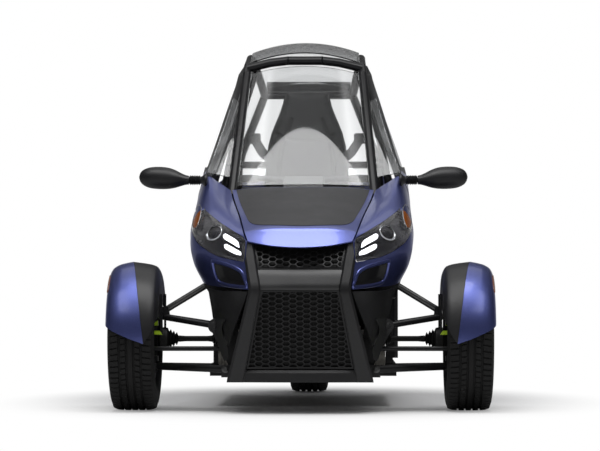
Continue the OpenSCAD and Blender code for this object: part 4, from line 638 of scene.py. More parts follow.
def outer_spot(i, j):
    return fender_spot(outer_shares, 15.0, OUTER_EDGE, 0.0, i, j)


def liner_spot(i, j):
    return fender_spot(liner_shares, 30.0, LINER_EDGE, 1.0, i, j)


outer_geo = sheet_geo(grid_of(outer_spot, 60, 30, False), -FENDER_T)
inner_geo = sheet_geo(grid_of(liner_spot, 60, 30, False), FENDER_T)
marker_geo = sheet_geo(oval(outer_spot, (0.345, 0.79), (0.105, 0.10)), -3.5, -2.0)
SIDES = (("left", 1), ("right", -1))
for side, sign in SIDES:
    body = side + "_knuckle_body"
    build(side + "_fender_skin", [sided(outer_geo, sign)], PAINT, [side + "_fender"], body)
    build(side + "_marker", [sided(marker_geo, sign)], AMBER, (), body)
    build(side + "_liner_skin", [sided(inner_geo, sign)], BLACK, [side + "_fender_liner"], body)

# windshield, roof, quarter windows
SCREEN_BOW, SCREEN_CROWN, SCREEN_TOP, SCREEN_LOW, ROOF_TOP, ROOF_END = 55.0, 32.0, 0.955, 0.08, 1600, 0.97


def screen_spot(i, k):
    t = mix(SCREEN_TOP, SCREEN_LOW, i)
    e = mix(FOOT, TOP, t)
    flat = 1 - k * k
    return (k * (e[0] - CAGE - GLASS_FIT), e[1] - SCREEN_BOW * flat * (1 - t / 2),
            e[2] + SCREEN_CROWN * t * flat)


def roof_spot(i, k):
    e = curve(np.array([TOP, MID, HOOP, END]), ROOF_END * i)
    flat = 1 - k * k
    crown = ROOF_TOP - MID[2] - CAGE - GLASS
    return (-k * (e[0] - CAGE / 2), e[1] - SCREEN_BOW / 3 * flat * (1 - i),
            e[2] + CAGE + GLASS - GLASS_FIT + crown * flat * (1 - i * i / 3))


screen_geo = sheet_geo(grid_of(screen_spot, 30, 20), GLASS)
build("windshield_skin", [screen_geo], CLEAR, ["windshield"])
roof_geo = sheet_geo(grid_of(roof_spot, 48, 24), GLASS)
build("roof_skin", [roof_geo], TINT, ["roof_panel"])
door_net = placed(door_shares, DOOR_AT, DOOR_SIZE)
# the quarter windows reach from a little in front of the door's upper edge to the pillar
PANE_GAP, PANE_DROP, PANE_BULGE, PANE_END = np.array([6.0, 18.0, 0]), 20.0, np.array([0, -5.0, 0]), 0.72
pane_net = []
for edge in door_net[0][4:]:
    p = edge - PANE_GAP
    q = mix(FOOT, TOP, (p[2] - FOOT[2] - PANE_DROP) / (TOP[2] - FOOT[2]))
    q = q + np.array([CAGE + GLASS_FIT + GLASS / 4, 0, 0])
    pane_net.append([p, (p + q) / 2 + PANE_BULGE, q])
pane_geo = sheet_geo(patch(np.array(pane_net), 30, 10, (0, 0), (PANE_END, 1)), GLASS)
build("quarter_window_skins", pair(pane_geo), CLEAR, ["quarter_windows"])

# tail
quarter_net = placed(quarter_shares, TAIL_AT, TAIL_SIZE)
DECK_CROWN, DECK_START, MUD_GAP, MUD_LIP, MUD_SIDE, MUD_START, MUD_END = 40.0, 0.62, 24.0, 18.0, 12.0, 35, 165


def deck_spot(i, k):
    e = curve(quarter_net[:, 3], mix(DECK_START, 1.0, i))
    return (-k * (e[0] - SKIN), e[1], e[2] + DECK_CROWN * (1 - k * k))


def mud_spot(i, k):
    a = math.radians(mix(MUD_START, MUD_END, i))
    r = TYRE_R + MUD_GAP - MUD_LIP * k ** 4
    return (-k * (TYRE_W / 2 + MUD_SIDE), REAR_Y - r * math.cos(a), AXLE_Z + r * math.sin(a))


tail_geo = sheet_geo(patch(quarter_net, 60, 30), SKIN)
build("quarter_panel_skins", pair(tail_geo), PAINT, ["quarter_panels"])
deck_geo = sheet_geo(grid_of(deck_spot, 40, 20), SKIN)
build("rear_deck_skin", [deck_geo], PAINT, ["rear_deck"])
mud_geo = sheet_geo(grid_of(mud_spot, 48, 16), -FENDER_T)
build("rear_fender_skin", [mud_geo], BLACK, ["rear_fender"])

# doors and their glass: painted below the belt line, black round the window and inside
BELT_Z, DOOR_T, DOOR_REACH, PANE_SHARE, HINGE_SHARES = 0.99, 28.0, 920.0, 0.998, (0.22, 0.36)
POCKET_X, POCKET_Y, POCKET_HALF = (410.0, 466.0), (-584.4, -539.4), 36
window = closed_curve(window_shares, 5, 0.3) * DOOR_SIZE[1:] + DOOR_AT[1:]
window_middle = np.array(window_shares).mean(axis=0) * DOOR_SIZE[1:] + DOOR_AT[1:]
pane = window_middle + (window - window_middle) * PANE_SHARE
hinge_heights = [DOOR_AT[2] + DOOR_SIZE[2] * share for share in HINGE_SHARES]
door_geo = sheet_geo(patch(door_net, 60, 110), DOOR_T)
glass_geo = sheet_geo(patch(door_net, 40, 60, (0, 0.45), (1, 1)), GLASS, -DOOR_T / 3)
for side, sign in SIDES:
    d = build(side + "_door_skin", [sided(door_geo, sign)], PAINT, body=None)
    reach = sorted((0.0, DOOR_REACH * sign))
    boolean(d, [prism_geo(window, *reach, 0)], "DIFFERENCE")
    for z in hinge_heights:
        a, b = POCKET_Y
        low, high = z - POCKET_HALF, z + POCKET_HALF
        pocket = [(a, low), (b, low), (b, high), (a, high)]
        boolean(d, [prism_geo(pocket, *sorted(x * sign for x in POCKET_X), 0)], "DIFFERENCE")
    d.data.materials.append(BLACK)
    for f in d.data.polygons:
        if f.center.z > BELT_Z or abs(f.normal.x) < 0.3 or f.normal.x * sign < 0:
            f.material_index = 1
    g = build(side + "_glass_skin", [sided(glass_geo, sign)], SMOKE, body=None)
    boolean(g, [prism_geo(pane, *reach, 0)], "INTERSECT")
    attach(g, [side + "_door_glass"], side + "_door_body")
    attach(d, [side + "_door"], side + "_door_body")

# front bumper: two bars that bend at the knee and tuck in under the hood's lip, and what they frame
BUMPER_Z, KNEE_Z, BAR_TOP_Z, MID_TOP_Z, BAR_H, BAR_D = 123.0, 487.0, 674.0, 563.5, 51.0, 30.0
PANEL_PLAY, PANEL_BACK, PANEL_ROUND, TUCK = 2.0, 2.0, 7.0, 5.0
# painted shade behind the grilles: dark sheets that stand in for the shade inside the nose seen through the
# cells; how far behind the bars' fronts, their play and thickness
SHADE_SHEET_BACK, SHADE_SHEET_PLAY, SHADE_SHEET_T = 26.0, -4.0, 3.0
CELL_R, CELL_WALL, CELL_SQUASH, GRILLE_T, GRILLE_RIM = 18.0, 4.5, 0.63, 8.0, 7.0
bar_z = [BUMPER_Z, KNEE_Z, BAR_TOP_Z]
bar_front_y = [-1350.0, -1435.0, -1334.0]
bar_in_x = [221.0, 153.0, 186.0]
bar_out_x = [289.0, 197.0, 231.0]


def bar_at(values, z, blend=14.0):
    """A bar's value at a height, eased a little round the knee."""
    return sum(np.interp(z + d, bar_z, values) for d in (-blend, 0.0, blend)) / 3


def bar_geo(bevel=5.0, steps=40):
    rings = []
    for z in np.linspace(BUMPER_Z, BAR_TOP_Z, steps):
        a, b, y = bar_at(bar_in_x, z), bar_at(bar_out_x, z), bar_at(bar_front_y, z)
        e = y + BAR_D
        rings.append([(a + bevel, y, z), (b - 2 * bevel, y, z), (b, y + 2 * bevel, z), (b, e - bevel, z),
                      (b - bevel, e, z), (a + bevel, e, z), (a, e - bevel, z), (a, y + bevel, z)])
    return loft(rings)


def lower_bar_geo(half=231.0, bow=15.0, rear=-1300.0, bevel=7.0, steps=24):
    low, high = BUMPER_Z, BUMPER_Z + BAR_H
    rings = []
    for k in np.linspace(-1, 1, steps + 1):
        y = bar_front_y[0] - bow * (1 - k * k)
        section = [(y, low + bevel), (y, high - 2 * bevel), (y + bevel, high - bevel / 2),
                   (y + 3 * bevel, high), (rear, high), (rear, low), (y + bevel, low)]
        rings.append([(half * k, *p) for p in section])
    return loft(rings)


def between_bars(z, k, back=0.0, play=PANEL_PLAY):
    """A spot between the bars: k runs from -1 to 1 across, back is how far it lies behind their fronts."""
    return ((bar_at(bar_in_x, z) - play) * k, bar_at(bar_front_y, z) + back + TUCK * k * k, z)


def crown_spot(i, k):
    return between_bars(mix(MID_TOP_Z, KNEE_Z - 3.0, i), k, PANEL_BACK + PANEL_ROUND * (2 * i - 1) ** 4)


build("front_bumper_skin", pair(bar_geo()) + [lower_bar_geo()], BLACK, ["front_bumper"], angle=25.0)
crown_geo = sheet_geo(grid_of(crown_spot, 16, 20), SKIN)
build("bumper_panel_skin", [crown_geo], PANEL, ["bumper_panel"])


def clipped(poly, fence):
    """The part of a convex outline inside another convex one, both running anticlockwise."""
    for a, b in zip(fence, np.roll(fence, -1, 0)):
        def side(p):
            return (b[0] - a[0]) * (p[1] - a[1]) - (b[1] - a[1]) * (p[0] - a[0])
        out = []
        for p, q in zip(poly, poly[1:] + poly[:1]):
            sp, sq = side(p), side(q)
            if sp >= 0:
                out.append(p)
            if (sp >= 0) != (sq >= 0):
                out.append(p + (q - p) * sp / (sp - sq))
        poly = out
        if len(poly) < 3:
            return []
    return poly


def grille(name, low, high, back, stands_for):
    """A bowed honeycomb panel of wide cells between the bars."""
    def fence(rim):
        a, b = [bar_at(bar_in_x, z) - PANEL_PLAY - rim for z in (low, high)]
        return np.array([(-a, low + rim), (a, low + rim), (b, high - rim), (-b, high - rim)])
    plate = build(name, [prism_geo(fence(0.0), 0.0, GRILLE_T)], GRILLE, body=None)
    inner = fence(GRILLE_RIM)
    rise = CELL_R * math.sqrt(3) / 2 * CELL_SQUASH
    six = [np.array(p) for p in round_section(CELL_R - CELL_WALL / 2, 6, 1.0, CELL_SQUASH)]
    holes = []
    for row in range(int((high - low) / rise) + 2):
        for k in range(-8, 9):
            at = np.array([(k + row % 2 / 2) * 3 * CELL_R, low + row * rise])
            cell = clipped([p + at for p in six], inner)
            if cell:
                holes.append(prism_geo(cell, -GRILLE_T, 2 * GRILLE_T))
    boolean(plate, holes, "DIFFERENCE")
    for v in plate.data.vertices:
        x, depth, z = v.co * 1000
        k = x / (bar_at(bar_in_x, z) - PANEL_PLAY)
        v.co.y = 0.001 * (bar_at(bar_front_y, z, 0.0) + back + depth + TUCK * k * k)
    plate.data.update()
    soften(plate, 30.0)
    attach(plate, [stands_for])


# painted shade: a dark sheet close behind a grille, standing in for the shade inside the nose
def shade_sheet_geo(low, high):
    def spot(i, k):
        return between_bars(mix(high, low, i), k, SHADE_SHEET_BACK, SHADE_SHEET_PLAY)
    return sheet_geo(grid_of(spot, 12, 12), SHADE_SHEET_T)


grille("lower_grille_skin", BUMPER_Z + BAR_H + 2, KNEE_Z - 4, BAR_D / 3, "lower_grille")
grille("upper_grille_skin", MID_TOP_Z + 2, BAR_TOP_Z - 2, BAR_D / 4, "upper_grille")
shade_sheets = [shade_sheet_geo(BUMPER_Z + BAR_H, KNEE_Z + 4), shade_sheet_geo(KNEE_Z + 12, BAR_TOP_Z)]
build("painted_shade_behind_grilles", shade_sheets, BOOT, slot="black_plastic")

# headlamps and vent pods: sheets under the cheeks' surface, trimmed by front outlines
stride = CHEEK_COLS + 1
cells = [(i * stride + j, (i + 1) * stride + j, (i + 1) * stride + j + 1, i * stride + j + 1)
         for i in range(CHEEK_ROWS) for j in range(CHEEK_COLS)]
cheek_tree = BVHTree.FromPolygons([tuple(map(float, p)) for p in cheek_grid.reshape(-1, 3)], cells)


def on_cheek(x, z, lift):
    """The spot on the cheek at a place in the front view, raised by lift, and the surface's direction."""
    hit, n, _, _ = cheek_tree.ray_cast(Vector((x, -2500.0, z)), Vector((0, 1, 0)))
    if hit is None:
        hit, n, _, _ = cheek_tree.find_nearest(Vector((x, -1100.0, z)))
    if n.y > 0:
        n = -n
    return np.array(hit) + lift * np.array(n), np.array(n)


def depth_inside(grid, outline, reach):
    """0 at the outline and outside it, 1 from reach inward, seen from the front."""
    p = grid[..., [0, 2]].reshape(-1, 1, 2)
    a = outline[None]
    b = np.roll(outline, -1, 0)[None]
    ab = b - a
    t = np.clip(((p - a) * ab).sum(-1) / (ab * ab).sum(-1), 0, 1)
    d = np.linalg.norm(p - (a + ab * t[..., None]), axis=-1).min(axis=1)
    rise = (p[..., 1] - a[..., 1]) / (ab[..., 1] + 1e-9)
    level = (a[..., 1] > p[..., 1]) != (b[..., 1] > p[..., 1])
    crossed = level & (p[..., 0] < ab[..., 0] * rise + a[..., 0])
    inside = crossed.sum(axis=1) % 2 == 1
    s = np.clip(np.where(inside, d, 0.0) / reach, 0, 1)
    return (s * s * (3 - 2 * s)).reshape(*grid.shape[:2], 1)


def cheek_part(name, outline, lift, t, mat, stands_for=()):
    o = build(name, pair(sheet_geo(cheek_grid, t, lift)), mat, body=None)
    boolean(o, pair(prism_geo(outline, NOSE_FAR, NOSE_NEAR)), "INTERSECT")
    attach(o, stands_for)


def bowl(shares, edge, deep, reach):
    """How far a bowl lies under the cheek's surface."""
    return -edge - deep * depth_inside(cheek_grid, front_outline(shares), reach)


BOWL_T = 3.0
lamp_depth = bowl(lamp_shares, edge=1.5, deep=15.0, reach=14.0)
cheek_part("lamp_bowls", front_outline(lamp_shares, 0.99), lamp_depth, BOWL_T, LAMP, ["headlamps"])
cheek_part("lamp_covers", front_outline(lamp_shares, 0.985), -0.4, 1.0, COVER)
led_bars = [
    [(307, 701), (297, 708), (254, 683), (243, 670), (238.5, 651), (247, 654), (273, 670), (302, 687)],
    [(302, 662), (292, 666), (234, 635), (232, 620.5), (257, 626), (297, 647)]]
for k, points in enumerate(led_bars):
    cheek_part("led_bar_%d" % k, closed_curve(points, 5, 0.2), -6.0, 6.0, WHITE)
AMBER_X, AMBER_Z, AMBER_HALF_W, AMBER_HALF_H, AMBER_LEAN = 428.5, 786.0, 17.5, 51.0, -4.0
amber_line = np.array([(AMBER_X + AMBER_HALF_W * math.cos(a) + AMBER_LEAN * math.sin(a),
                        AMBER_Z + AMBER_HALF_H * math.sin(a)) for a in turns(48)])
cheek_part("amber_lamps", amber_line, -0.2, 8.0, AMBER)
rim_path = [on_cheek(x, z, -0.4)[0] for x, z in amber_line]
build("amber_rims", pair(sweep(rim_path, round_section(2.2, 8), True)), CHROME)
EYE_X, EYE_Z, EYE_DEEP, EYE_AHEAD = 350.0, 720.0, -15.0, -0.35
eye, eye_axis = on_cheek(EYE_X, EYE_Z, EYE_DEEP)
eye_axis = eye_axis + np.array([0, EYE_AHEAD, 0])
bezel = ring(eye, eye_axis, [(34, 0), (34.5, 6), (32.5, 8.5), (30.5, 7), (30, 0)], 56)
build("lamp_bezels", pair(bezel), CHROME)
dome = [(0, 12.0)]
dome += [(28.0 * math.sin(a), -3 + 15.0 * math.cos(a)) for a in np.linspace(0.18, 1.45, 9)]
dome += [(27, -4), (0, -4)]
build("lamp_eyes", pair(lathe(eye, eye_axis, dome, 56)), LAMP, slot="lamp_lens")
# thin bright arcs round the lamp: from and to turn, count of points, radius, height and thickness
arcs = []
for start, end, count, r, h, thick in ((0.25, 2.9, 28, 36.5, 7.5, 1.3), (3.9, 5.6, 20, 37.5, 6.0, 1.1)):
    arc = [around(eye, eye_axis, a, r, h) for a in np.linspace(start, end, count)]
    arcs += pair(sweep(arc, round_section(thick, 8)))
build("lamp_arcs", arcs, CHROME)
pod_depth = bowl(pod_shares, edge=1.0, deep=17.0, reach=16.0)
cheek_part("pod_bowls", front_outline(pod_shares, 0.995), pod_depth, BOWL_T, BLACK, ["vent_pods"])
lip_path, lip_up = zip(*[on_cheek(x, z, -1.0) for x, z in front_outline(pod_shares, 1.06)])
lip_geo = sweep(lip_path, round_section(1.0, 12, 8.5, 6.0), True, np.array(lip_up))
build("pod_lips", pair(lip_geo), PAINT)

# tyres with a moulded tread: ribs, inclined slots and a stepped sidewall
RIM_R = 178.3
PITCHES, PITCH_STEPS, GROOVE_D, SLOT_D, SKEW, STEP_D = 72, 6, 7.0, 5.0, 0.055, 1.2
tyre_shares = np.array([[0.74, 0], [0.9, 0.12], [0.99, 0.38], [1, 0.55], [0.97, 0.75], [0.89, 0.9],
                        [0.78, 0.965], [0.6, 0.992], [0.3, 1], [0, 1]])
wall_line = np.array([curve(tyre_shares, k / 120) for k in range(121)])


def tread_radius(w):
    a = wall_line[70:]
    return mix(RIM_R, TYRE_R, np.interp(abs(w), a[::-1, 0], a[::-1, 1]))


def tyre_columns():
    """From one bead over the tread to the other: place, radius, groove depth, slot phase, slot depth."""
    cols = []
    for k in range(0, 73, 6):
        w, h = wall_line[k]
        cols.append((w, mix(RIM_R, TYRE_R, h) - (STEP_D if k in (24, 42, 48) else 0.0), 0.0, None, 0.0))
    cols += [(w, tread_radius(w), 0.0, 0.5, SLOT_D) for w in (0.90, 0.82, 0.72, 0.62, 0.52)]
    cols += [(0.505, tread_radius(0.5), GROOVE_D, None, 0.0), (0.42, tread_radius(0.42), GROOVE_D, None, 0.0)]
    cols += [(w, tread_radius(w), 0.0, 0.0, SLOT_D * 0.9) for w in (0.405, 0.34, 0.27, 0.205)]
    cols += [(w, tread_radius(w), GROOVE_D, None, 0.0) for w in (0.19, 0.11)]
    cols += [(w, tread_radius(w), 0.0, None, 0.0) for w in (0.095, 0.03)]
    return cols + [(-w, r, g, None if ph is None else (ph + 0.5) % 1, d) for w, r, g, ph, d in cols[::-1]]


def tyre_geo(at):
    columns = tyre_columns()
    rings = []
    for k, turn in enumerate(turns(PITCHES * PITCH_STEPS)):
        spots = []
        for w, r, groove, phase, slot in columns:
            a = turn + (SKEW * abs(w) if abs(w) > 0.2 else 0.0)
            if phase is not None and (k + int(phase * PITCH_STEPS)) % PITCH_STEPS == 0:
                r -= slot
            else:
                r -= groove
            spots.append((at[0] + w * TYRE_W / 2, at[1] + r * math.cos(a), at[2] + r * math.sin(a)))
        rings.append(spots)
    return loft(rings, True)


wheels = [("left_tyre", WHEEL_X, AXLE_Y, "left_front_wheel"),
          ("right_tyre", -WHEEL_X, AXLE_Y, "right_front_wheel"),
          ("rear_tyre", 0.0, REAR_Y, "rear_wheel_body")]
for name, x, y, body in wheels:
    build(name + "_moulded", [tyre_geo((x, y, AXLE_Z))], RUBBER, [name], body, angle=25.0)


# seats: padded covers blown up from the CAD pads, with sewn channels and piping, in metres
VOXEL, MOST_MOVE, PAD_INSET, PAD_FILL, CLOTH_FRAMES = 0.007, 0.012, 0.006, 0.75, 20


def loose_parts(name):
    """The node's separate solids, from the lowest to the highest."""
    src = bmesh.new()
    src.from_mesh(nodes[name].data)
    bmesh.ops.remove_doubles(src, verts=src.verts, dist=1e-5)
    left, parts = set(src.verts), []
    while left:
        todo, group = [left.pop()], set()
        while todo:
            x = todo.pop()
            if x not in group:
                group.add(x)
                todo += [e.other_vert(x) for e in x.link_edges if e.other_vert(x) not in group]
        left -= group
        ids = {x: k for k, x in enumerate(group)}
        faces = [tuple(ids[x] for x in f.verts) for f in src.faces if f.verts[0] in group]
        parts.append((np.array([tuple(x.co) for x in group]), faces))
    src.free()
    return sorted(parts, key=lambda p: p[0][:, 2].mean())


def points_of(me):
    return np.array([tuple(x.co) for x in me.vertices])


def move_points(me, points):
    me.vertices.foreach_set("co", points.ravel())
    me.update()


def inflate(o):
    """Cloth under light pressure, held to within a distance of its start."""
    start = points_of(o.data)
    c = o.modifiers.new("cloth", "CLOTH")
    c.settings.quality = 5
    c.settings.mass = 0.3
    c.settings.use_pressure = True
    c.settings.uniform_pressure_force = 4.0
    c.settings.effector_weights.gravity = 0.0
    c.settings.tension_stiffness = 20.0
    c.settings.compression_stiffness = 20.0
    c.settings.bending_stiffness = 1.5
    c.collision_settings.use_collision = False
    scene = bpy.context.scene
    for k in range(1, CLOTH_FRAMES + 1):
        scene.frame_set(k)
    dg = bpy.context.evaluated_depsgraph_get()
    move = points_of(o.evaluated_get(dg).data) - start
    o.modifiers.clear()
    scene.frame_set(1)
    far = np.linalg.norm(move, axis=1, keepdims=True)
    move_points(o.data, start + move * np.minimum(1.0, MOST_MOVE / np.maximum(far, 1e-9)))


def blown_pad(name, geo, refine):
    """A cover over a CAD pad: remeshed, smoothed, drawn in a little and let out again as cloth."""
    o = build(name, [geo], SEAT, body=None, mm=False)
    m = o.modifiers.new("remesh", "REMESH")
    m.mode = "VOXEL"
    m.voxel_size = VOXEL
    me = apply_modifiers(o)
    bm = bmesh.new()
    bm.from_mesh(me)
    for _ in range(6):
        bmesh.ops.smooth_vert(bm, verts=bm.verts, factor=0.5, use_axis_x=True, use_axis_y=True,
                              use_axis_z=True)
    bm.normal_update()
    for x in bm.verts:
        x.co -= x.normal * PAD_INSET
    bm.to_mesh(me)
    bm.free()
    inflate(o)
    if refine:
        o.modifiers.new("refine", "SUBSURF").levels = 1
        apply_modifiers(o)
    if not o.data.materials:
        o.data.materials.append(SEAT)
    o.data.shade_smooth()
    attach(o)
    return o


def sew(o, lines, depth=0.006, width=0.007):
    """Presses channels into the pad along lines of (x, y, z) points."""
    co = points_of(o.data)
    no = np.array([tuple(x.normal) for x in o.data.vertices])
    for line in lines:
        p = np.array(line, float)
        d = np.full(len(co), 1e9)
        for a, b in zip(p, p[1:]):
            t = np.clip(((co - a) @ (b - a)) / ((b - a) @ (b - a)), 0, 1)
            d = np.minimum(d, np.linalg.norm(co - (a + t[:, None] * (b - a)), axis=1))
        co -= no * (depth * np.exp(-(d / width) ** 2))[:, None]
    move_points(o.data, co)


def on_face(tree, x, z, way):
    """Where a line along Y (or along Z for a cushion's top) first meets the pad."""
    if way == "y":
        hit = tree.ray_cast(Vector((x, -1.5, z)), Vector((0, 1, 0)))[0]
    else:
        hit = tree.ray_cast(Vector((x, z, 1.2)), Vector((0, 0, -1)))[0]
    return None if hit is None else np.array(hit)


def seam_line(tree, pts, way="y", n=40):
    p = np.array(pts, float)
    spots = [curve(p, k / n) if len(p) > 2 else mix(p[0], p[1], k / n) for k in range(n + 1)]
    hits = [on_face(tree, x, z, way) for x, z in spots]
    return [h for h in hits if h is not None]


def both_seams(tree, pts, way="y"):
    return [seam_line(tree, [(s * x, z) for x, z in pts], way) for s in (-1, 1)]


def tree_of(o):
    return BVHTree.FromPolygons([x.co.copy() for x in o.data.vertices],
                                [tuple(f.vertices) for f in o.data.polygons])


driver_cushion, driver_back = loose_parts("driver_seat")
rider_cushion, rider_back = loose_parts("passenger_seat")
back_pad = blown_pad("driver_back_pad", driver_back, True)
cushion_pad = blown_pad("driver_cushion_pad", driver_cushion, True)
rider_pad = blown_pad("rider_back_pad", rider_back, False)
blown_pad("rider_cushion_pad", rider_cushion, False)
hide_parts("driver_seat")
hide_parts("passenger_seat")
back_tree = tree_of(back_pad)
bolster = both_seams(back_tree, [(0.135, 0.70), (0.132, 0.95), (0.112, 1.14), (0.07, 1.27)])
head = [seam_line(back_tree, [(-0.13, 1.2), (-0.06, 1.175), (0.06, 1.175), (0.13, 1.2)])]
waist = [seam_line(back_tree, [(-0.13, 0.86), (0.0, 0.85), (0.13, 0.86)])]
sew(back_pad, bolster + head + waist)
seat_tree = tree_of(cushion_pad)
flank = both_seams(seat_tree, [(0.135, -0.17), (0.135, 0.16)], "z")
cross = [seam_line(seat_tree, [(-0.13, y), (0.13, y)], "z", 20) for y in (-0.06, 0.06)]
sew(cushion_pad, flank + cross)
sew(rider_pad, both_seams(tree_of(rider_pad), [(0.12, 0.75), (0.118, 0.95), (0.095, 1.13)]))
piping = [sweep(line, round_section(0.0022, 8)) for line in bolster + head + flank if len(line) > 4]
build("seat_piping", piping, PIPE, mm=False)


# small fittings: boots, bolts, hinges, mirrors, tail lamps, belts and the display
def bolt(at, axis, r=10.0, tall=7.0):
    """A flanged hexagon head."""
    rim = 1.45 * r
    flange = [(0, 0), (rim, 0), (rim, tall * 0.15), (1.2 * r, tall * 0.3), (0, tall * 0.3)]
    hexagon = [(0, tall * 0.2), (r, tall * 0.2), (r, tall * 0.85), (0.85 * r, tall), (0, tall)]
    return [lathe(at, axis, flange, 24), lathe(at, axis, hexagon, 6)]


def bellows(low, high, r_low, r_high, folds, deep):
    """Profile points of a boot: (radius, place along the shaft)."""
    pts = []
    for k in range(folds):
        for t, out in ((k / folds, -0.5), ((k + 0.5) / folds, 0.5)):
            pts.append((mix(r_low, r_high, t) + deep * out, mix(low, high, t)))
    return pts


shaft = [(0, 300), (32, 300), (33.6, 302), (33.6, 318), (30, 320)] + bellows(322, 360, 29, 17, 4, 6.0)
shaft += [(13, 362), (11, 380), (11, 470), (13, 494)] + bellows(499, 548, 18, 41, 4, 12.0)
shaft += [(45, 549), (46, 551), (46, 569), (44, 571), (0, 571)]
shaft_geo = lathe((0, AXLE_Y, AXLE_Z), (1, 0, 0), shaft, 40)
build("half_shaft_skins", pair(shaft_geo), BOOT, ["half_shafts"], angle=20.0)

# pivot bolts: half width, height, and the front and rear faces of the brackets
PIVOT_X, PIVOT_Z = 340.0, 342.0
heads = []
for x, z, front, rear in ((PIVOT_X, PIVOT_Z, -1148.0, -884.0), (300.0, 170.0, -1198.0, -834.0)):
    for y, way in ((front, -1), (rear, 1)):
        for geo in bolt((x, y, z), (0, way, 0)):
            heads += pair(geo)
build("pivot_bolts", heads, STEEL, angle=25.0)


def wheel_bolts(x, y, face, count=5, ring_r=32.0):
    axis = (math.copysign(1, face), 0, 0)
    out = []
    for k in range(count):
        a = 2 * math.pi * (k + 0.5) / count
        at = (x + face, y + ring_r * math.cos(a), AXLE_Z + ring_r * math.sin(a))
        out += bolt(at, axis, 6.5, 7.0)
    return out


FRONT_FACE, REAR_FACE = 61.0, 67.0
bolt_sets = [wheel_bolts(WHEEL_X, AXLE_Y, FRONT_FACE), wheel_bolts(-WHEEL_X, AXLE_Y, -FRONT_FACE),
             wheel_bolts(0.0, REAR_Y, REAR_FACE) + wheel_bolts(0.0, REAR_Y, -REAR_FACE)]
for (name, _, _, body), geos in zip(wheels, bolt_sets):
    build(name.replace("tyre", "wheel_bolts"), geos, STEEL, (), body, angle=25.0)

# bracket plates round the upper wishbones' pivots, with a leg on the cowl's slope: (x, z) outlines
PLATE_FRONT, PLATE_BACK, PLATE_R, COWL_SLOPE = -1186.0, -1173.0, 30, 2.05
disc = [(PIVOT_X + x, PIVOT_Z + z) for x, z in round_section(PLATE_R, 32)]
leg = closed_curve([(340, 371), (318, 372), (296, 368), (311, 342), (308, 308), (285, 252), (287, 214),
                    (303, 206), (328, 270), (340, 312), (341, 342)], 4, 0.25)
leg_verts, leg_faces = prism_geo(leg, PLATE_FRONT, PLATE_BACK)
leg_verts[:, 1] -= COWL_SLOPE * np.maximum(0.0, PIVOT_X - leg_verts[:, 0])
plates = pair(prism_geo(disc, PLATE_FRONT, PLATE_BACK)) + pair((leg_verts, leg_faces))
for sign in (1, -1):
    plates += bolt((sign * (PIVOT_X + 6), PLATE_FRONT, PIVOT_Z), (0, -1, 0), 11.0, 10.0)
build("bracket_plates", plates, FRAME, angle=25.0)

HINGE_X, HINGE_Y = 438.0, -557.35
upper_barrel = [(12, 7.4), (10.8, 8), (12, 8.6), (12, 22.5), (10.5, 24), (0, 24)]
barrel = [(r, -h) for r, h in upper_barrel[::-1]] + upper_barrel
for side, sign in SIDES:
    hinges = []
    for z in hinge_heights:
        hinges += [lathe((sign * HINGE_X, HINGE_Y, z), (0, 0, 1), barrel, 28),
                   chamfer_box((sign * HINGE_X - sign * 2, HINGE_Y + 22, z), (7.0, 16.0, 21.0), 1.5)]
    build(side + "_hinges", hinges, TUBE, (), side + "_door_body", angle=25.0)

# mirrors: a rounded shell that narrows to a ribbed boot, given by the share of its length, the height of its
# middle, its half height and how far it reaches forward
MIRROR_Y, MIRROR_TIP, MIRROR_NECK, SHELL_BACK, STALK_Z = -661.5, 689.0, 480.0, 17.0, 948.0
MIRROR_X, MIRROR_Z, MIRROR_HALF_W, MIRROR_HALF_H = 592.0, 957.5, 82.0, 35.0
shell_shares = np.array([
    [0.0, 960.0, 4.0, 4.0], [0.025, 960.0, 19.0, 14.0], [0.09, 959.5, 33.0, 27.0], [0.22, 958.5, 43.5, 37.0],
    [0.4, 957.5, 47.0, 41.0], [0.58, 956.0, 45.0, 40.0], [0.72, 953.5, 38.0, 35.0], [0.85, 950.5, 27.0, 27.0],
    [0.94, 949.0, 20.5, 21.0], [1.0, 948.0, 18.5, 18.5]])


def shell_geo(stations=60, count=40):
    rings = []
    for k in range(stations + 1):
        t, z, tall, deep = curve(shell_shares, k / stations)
        spots = []
        for a in turns(count):
            c = math.cos(a)
            y = -deep * c if c > 0 else min(SHELL_BACK, deep) * abs(c) ** 0.5
            spots.append((mix(MIRROR_TIP, MIRROR_NECK, t), MIRROR_Y + y, z + tall * math.sin(a)))
        rings.append(spots)
    return loft(rings)


def mirror_spot(a, b):
    return (MIRROR_X + MIRROR_HALF_W * b, MIRROR_Y + SHELL_BACK + 0.4, MIRROR_Z + MIRROR_HALF_H * a)


build("mirror_shells", pair(shell_geo()), BLACK, ["mirrors"])
boot_line = [(0, 402), (13, 402), (26, 404), (27, 412), (17, 424), (15, 430)]
boot_line += bellows(432, 476, 18.5, 19, 6, 5.0) + [(15, 478), (0, 482)]
boot_geo = lathe((0, MIRROR_Y, STALK_Z), (1, 0, 0), boot_line, 32)
build("mirror_boots", pair(boot_geo), BLACK, angle=25.0)
mirror_geo = sheet_geo(oval(mirror_spot, (0, 0), (1, 1)), 2.0, 1.0)
build("mirror_glasses", pair(mirror_geo), SILVER)

tail_at = (131.2, 1425.0, 828.0)
lens = [(0, 8.0)]
for k in range(1, 7):
    lens += [(6.0 * k - 1.2, 8.4 - 0.06 * k * k), (6.0 * k, 9.6 - 0.1 * k * k)]
lens += [(40.5, 5.0), (41.0, 0.4), (0, 0.4)]
lens_geo = lathe(tail_at, (0, 1, 0), lens, 48)
build("tail_lenses", pair(lens_geo), RED, ["tail_lamps"], angle=25.0)
collar = [(41.3, 0.3), (47, 0.3), (47, 6), (45.5, 9.5), (42.5, 9.5), (41.3, 7)]
collar_geo = ring(tail_at, (0, 1, 0), collar, 48)
build("tail_bezels", pair(collar_geo), BLACK, angle=25.0)

